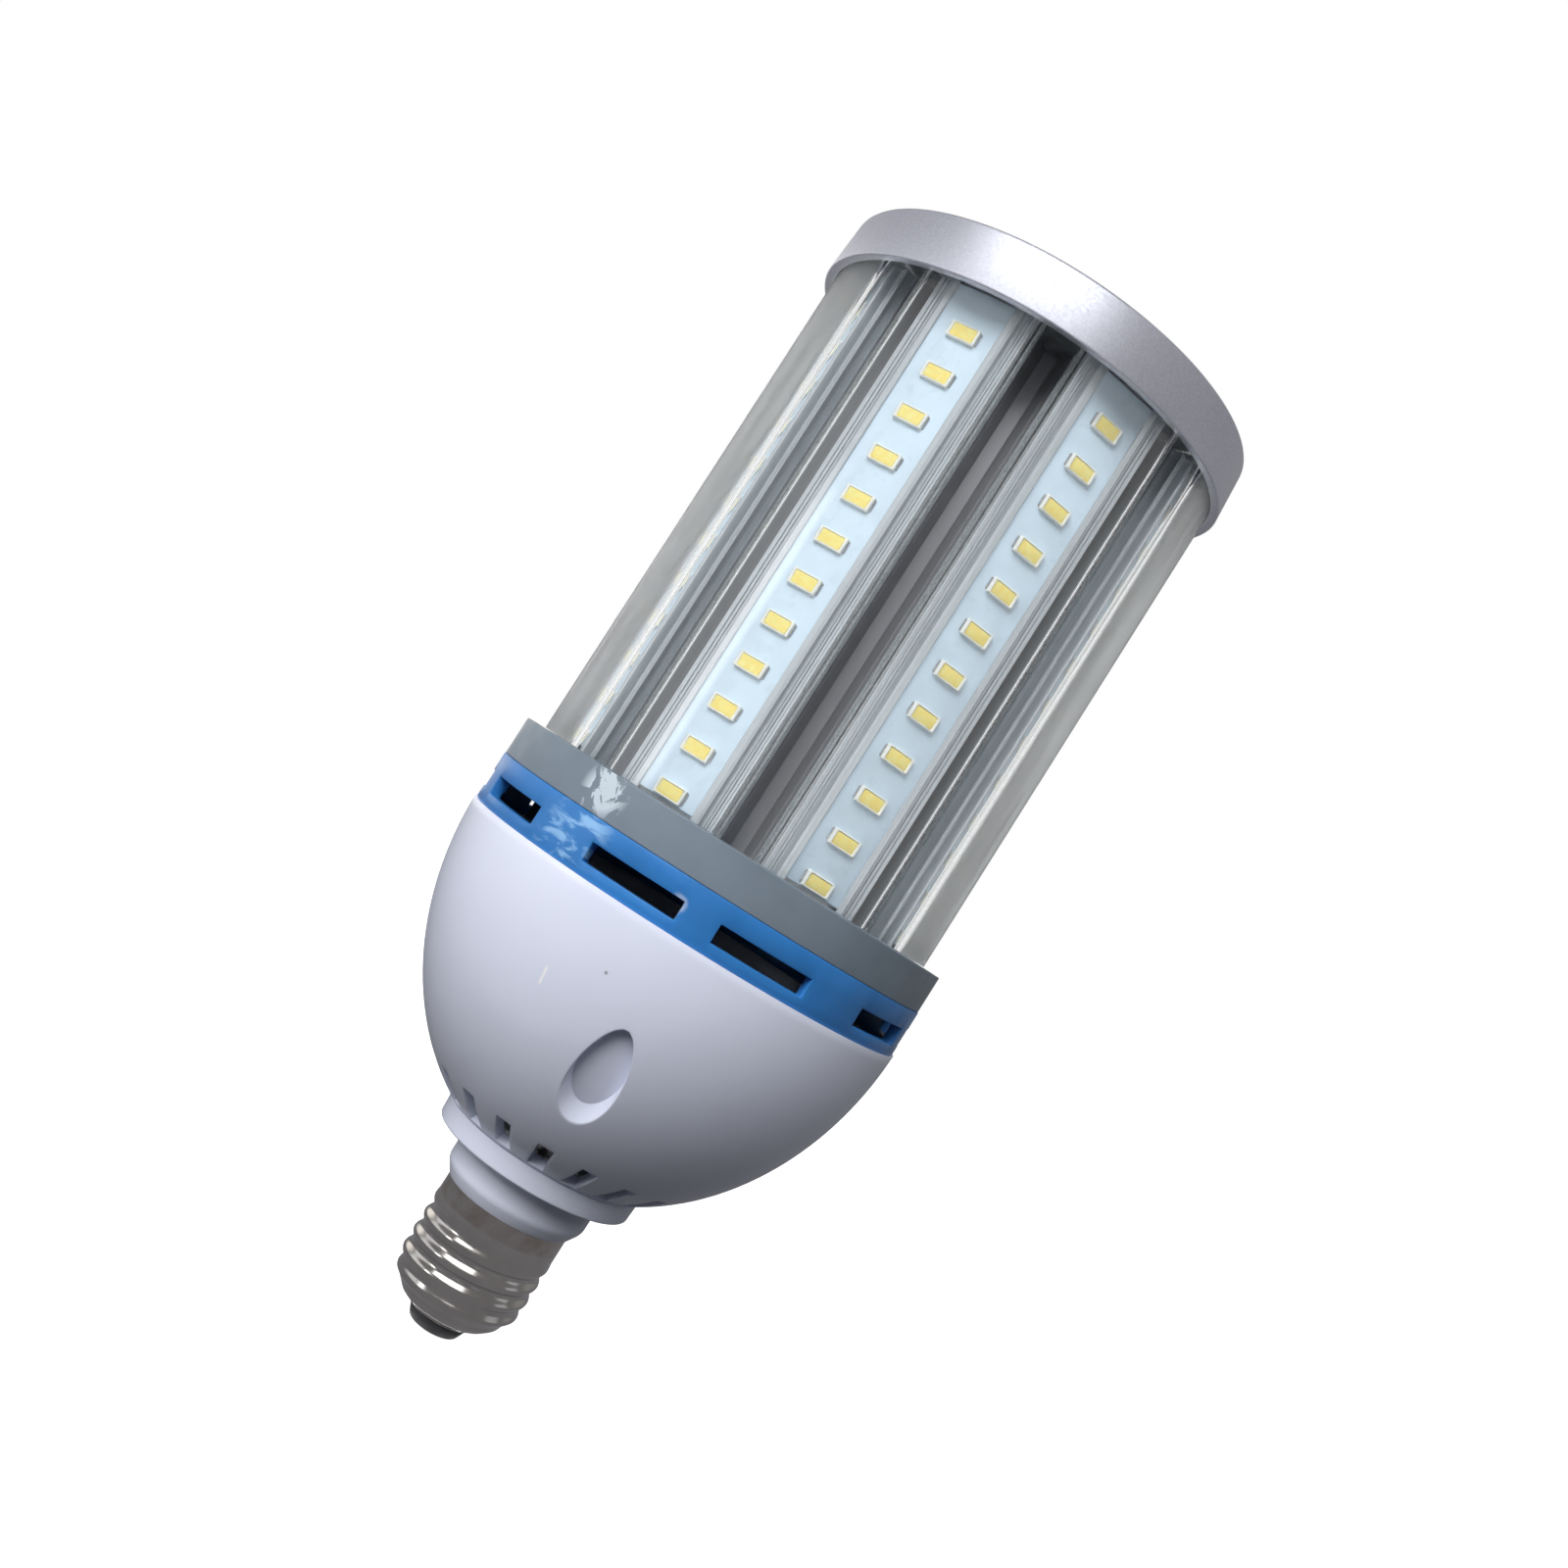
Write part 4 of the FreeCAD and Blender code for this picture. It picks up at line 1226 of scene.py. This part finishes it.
def studio_world(ambient):
    world = bpy.data.worlds.new("studio")
    world.use_nodes = True
    tree = world.node_tree
    room = tree.nodes["Background"]
    room.inputs["Color"].default_value = (0.92, 0.95, 1.0, 1.0)
    room.inputs["Strength"].default_value = ambient
    backdrop = tree.nodes.new("ShaderNodeBackground")
    backdrop.inputs["Color"].default_value = (1.0, 1.0, 1.0, 1.0)
    show_mix(tree, seen_rays(tree), room.outputs[0], backdrop.outputs[0], "World Output")
    bpy.context.scene.world = world


def studio_floor(settings):
    """Wide pale floor that shows white and keeps a faint shadow."""
    points, faces = lathe([(0, 0), (1500, 0), (1500, -4), (0, -4)], 64)
    material = bpy.data.materials.new("studio_floor")
    material.use_nodes = True
    tree = material.node_tree
    shader = tree.nodes["Principled BSDF"]
    shader.inputs["Base Color"].default_value = opaque(settings.floor)
    shader.inputs["Roughness"].default_value = 0.9
    shader.inputs["Specular IOR Level"].default_value = 0.0
    glow = tree.nodes.new("ShaderNodeEmission")
    glow.inputs["Strength"].default_value = 0.97
    both = tree.nodes.new("ShaderNodeAddShader")
    tree.links.new(shader.outputs[0], both.inputs[0])
    tree.links.new(glow.outputs[0], both.inputs[1])
    show_mix(tree, seen_rays(tree), shader.outputs[0], both.outputs[0], "Material Output")
    floor = make_piece("studio_floor", points, faces, material)
    floor.visible_diffuse = False


# Windows of the room that gloss sees: low and high azimuth and fade in degrees, foot and head in
# millimetres, and light in red, green and blue
WINDOWS = (
    (-104.0, -72.0, 10.0, -50.0, 400.0, (0.9, 0.92, 0.97)),
    (-62.0, -52.0, 4.0, -50.0, 90.0, (1.9, 1.95, 2.05)),
    (-60.0, -54.0, 3.0, 120.0, 330.0, (4.6, 4.7, 4.8)),
    (-180.0, -125.0, 14.0, -50.0, 480.0, (1.25, 1.23, 1.2)),
    (76.0, 94.0, 5.0, -50.0, 400.0, (0.5, 0.52, 0.56)),
    (120.0, 180.0, 14.0, -50.0, 1100.0, (0.3, 0.3, 0.3)),
    (-50.0, 5.0, 8.0, 620.0, 1050.0, (3.8, 3.85, 3.95)),
)
BRIGHTEST = 8.0


def gloss_room():
    """Dark room with soft windows, which only gloss sees."""
    profile = [(6, 0.8), (850, 0.8), (850, 1100), (0, 1100),
               (0, 1104), (854, 1104), (854, -3), (6, -3)]
    finish = Finish("gloss_room", (0.025, 0.025, 0.0265, 1.0), 1.0)
    for low, high, fade, foot, head, level in WINDOWS:
        window = finish.product(finish.turn_band(low, high, fade),
                                finish.height_band(foot, head, 50.0))
        finish.paint(window, [value / BRIGHTEST for value in level])
    finish.paint(finish.height_band(-10.0, 20.0, 40.0), (0.025, 0.025, 0.0275))
    glow = finish.new("ShaderNodeEmission")
    glow.inputs["Strength"].default_value = BRIGHTEST
    finish.link(finish.shader.inputs["Base Color"].links[0].from_socket, glow.inputs["Color"])
    finish.link(glow.outputs[0], finish.tree.nodes["Material Output"].inputs["Surface"])
    room = make_piece("gloss_room", *lathe(profile, 72), finish.material)
    for ray in ("camera", "diffuse", "transmission", "volume_scatter", "shadow"):
        setattr(room, "visible_" + ray, False)


# Operators and panel

class BulbOperator:
    bl_options = {"REGISTER", "UNDO"}
    steps = ()

    def execute(self, context):
        for step in self.steps:
            step()
        return {"FINISHED"}


class BULB_OT_screw_base(BulbOperator, bpy.types.Operator):
    """Build the threaded shell, the insulating plug and the centre contact"""
    bl_idname = "bulb.screw_base"
    bl_label = "Screw base"
    steps = (screw_shell, insulator_and_contact)


class BULB_OT_collar(BulbOperator, bpy.types.Operator):
    """Build the white collar and flange"""
    bl_idname = "bulb.collar"
    bl_label = "Collar"
    steps = (collar,)


class BULB_OT_bowl(BulbOperator, bpy.types.Operator):
    """Build the driver bowl with its notches and screw pockets"""
    bl_idname = "bulb.bowl"
    bl_label = "Driver bowl"
    steps = (bowl_shell,)


class BULB_OT_rings(BulbOperator, bpy.types.Operator):
    """Build the blue vent ring and the grey seat ring"""
    bl_idname = "bulb.rings"
    bl_label = "Vent and seat rings"
    steps = (vent_band, seat_band)


class BULB_OT_column(BulbOperator, bpy.types.Operator):
    """Build the extruded aluminium column"""
    bl_idname = "bulb.column"
    bl_label = "Aluminium column"
    steps = (column,)


class BULB_OT_leds(BulbOperator, bpy.types.Operator):
    """Build the LED boards and their packages"""
    bl_idname = "bulb.leds"
    bl_label = "LED boards"
    steps = (led_boards, led_packages)


class BULB_OT_covers(BulbOperator, bpy.types.Operator):
    """Build the clear covers over the boards"""
    bl_idname = "bulb.covers"
    bl_label = "Clear covers"
    steps = (clear_covers,)


class BULB_OT_cap(BulbOperator, bpy.types.Operator):
    """Build the silver end cap"""
    bl_idname = "bulb.cap"
    bl_label = "End cap"
    steps = (cap_shell,)


class BULB_OT_screws(BulbOperator, bpy.types.Operator):
    """Build the screws of the bowl and the cap"""
    bl_idname = "bulb.screws"
    bl_label = "Screws"
    steps = (screws,)


class BULB_OT_driver(BulbOperator, bpy.types.Operator):
    """Give the driver's parts and leads their finishes"""
    bl_idname = "bulb.driver"
    bl_label = "Driver finishes"
    steps = (dress_driver,)


class BULB_OT_stage(bpy.types.Operator):
    """Set up the floor, the soft light, the world and the camera"""
    bl_idname = "bulb.stage"
    bl_label = "Studio"

    def execute(self, context):
        settings = context.scene.studio_settings
        context.scene.view_settings.view_transform = "Standard"
        place_camera()
        studio_world(settings.ambient)
        studio_floor(settings)
        gloss_room()
        for name, width, place, target in LIGHTS:
            soft_light(name + "_light", getattr(settings, name + "_power"), width, place, target)
        return {"FINISHED"}


OPERATORS = (BULB_OT_screw_base, BULB_OT_collar, BULB_OT_bowl, BULB_OT_rings, BULB_OT_column,
             BULB_OT_leds, BULB_OT_covers, BULB_OT_cap, BULB_OT_screws, BULB_OT_driver,
             BULB_OT_stage)


class BULB_PT_panel(bpy.types.Panel):
    """Sizes, colours and steps of the bulb"""
    bl_label = "Corn LED bulb"
    bl_idname = "BULB_PT_panel"
    bl_space_type = "VIEW_3D"
    bl_region_type = "UI"
    bl_category = "LED bulb"

    def draw(self, context):
        scene = context.scene
        for group in (scene.bulb_sizes, scene.bulb_colours, scene.studio_settings):
            box = self.layout.box()
            for name in group.bl_rna.properties.keys():
                if name not in ("rna_type", "name"):
                    box.prop(group, name)
        for operator in OPERATORS:
            self.layout.operator(operator.bl_idname)


CLASSES = (BulbSizes, BulbColours, StudioSettings) + OPERATORS + (BULB_PT_panel,)


def register():
    for item in CLASSES:
        bpy.utils.register_class(item)
    bpy.types.Scene.bulb_sizes = PointerProperty(type=BulbSizes)
    bpy.types.Scene.bulb_colours = PointerProperty(type=BulbColours)
    bpy.types.Scene.studio_settings = PointerProperty(type=StudioSettings)


def unregister():
    del bpy.types.Scene.studio_settings
    del bpy.types.Scene.bulb_colours
    del bpy.types.Scene.bulb_sizes
    for item in reversed(CLASSES):
        bpy.utils.unregister_class(item)


def main():
    register()
    for operator in OPERATORS:
        group, name = operator.bl_idname.split(".")
        getattr(getattr(bpy.ops, group), name)()


if __name__ == "__main__":
    main()
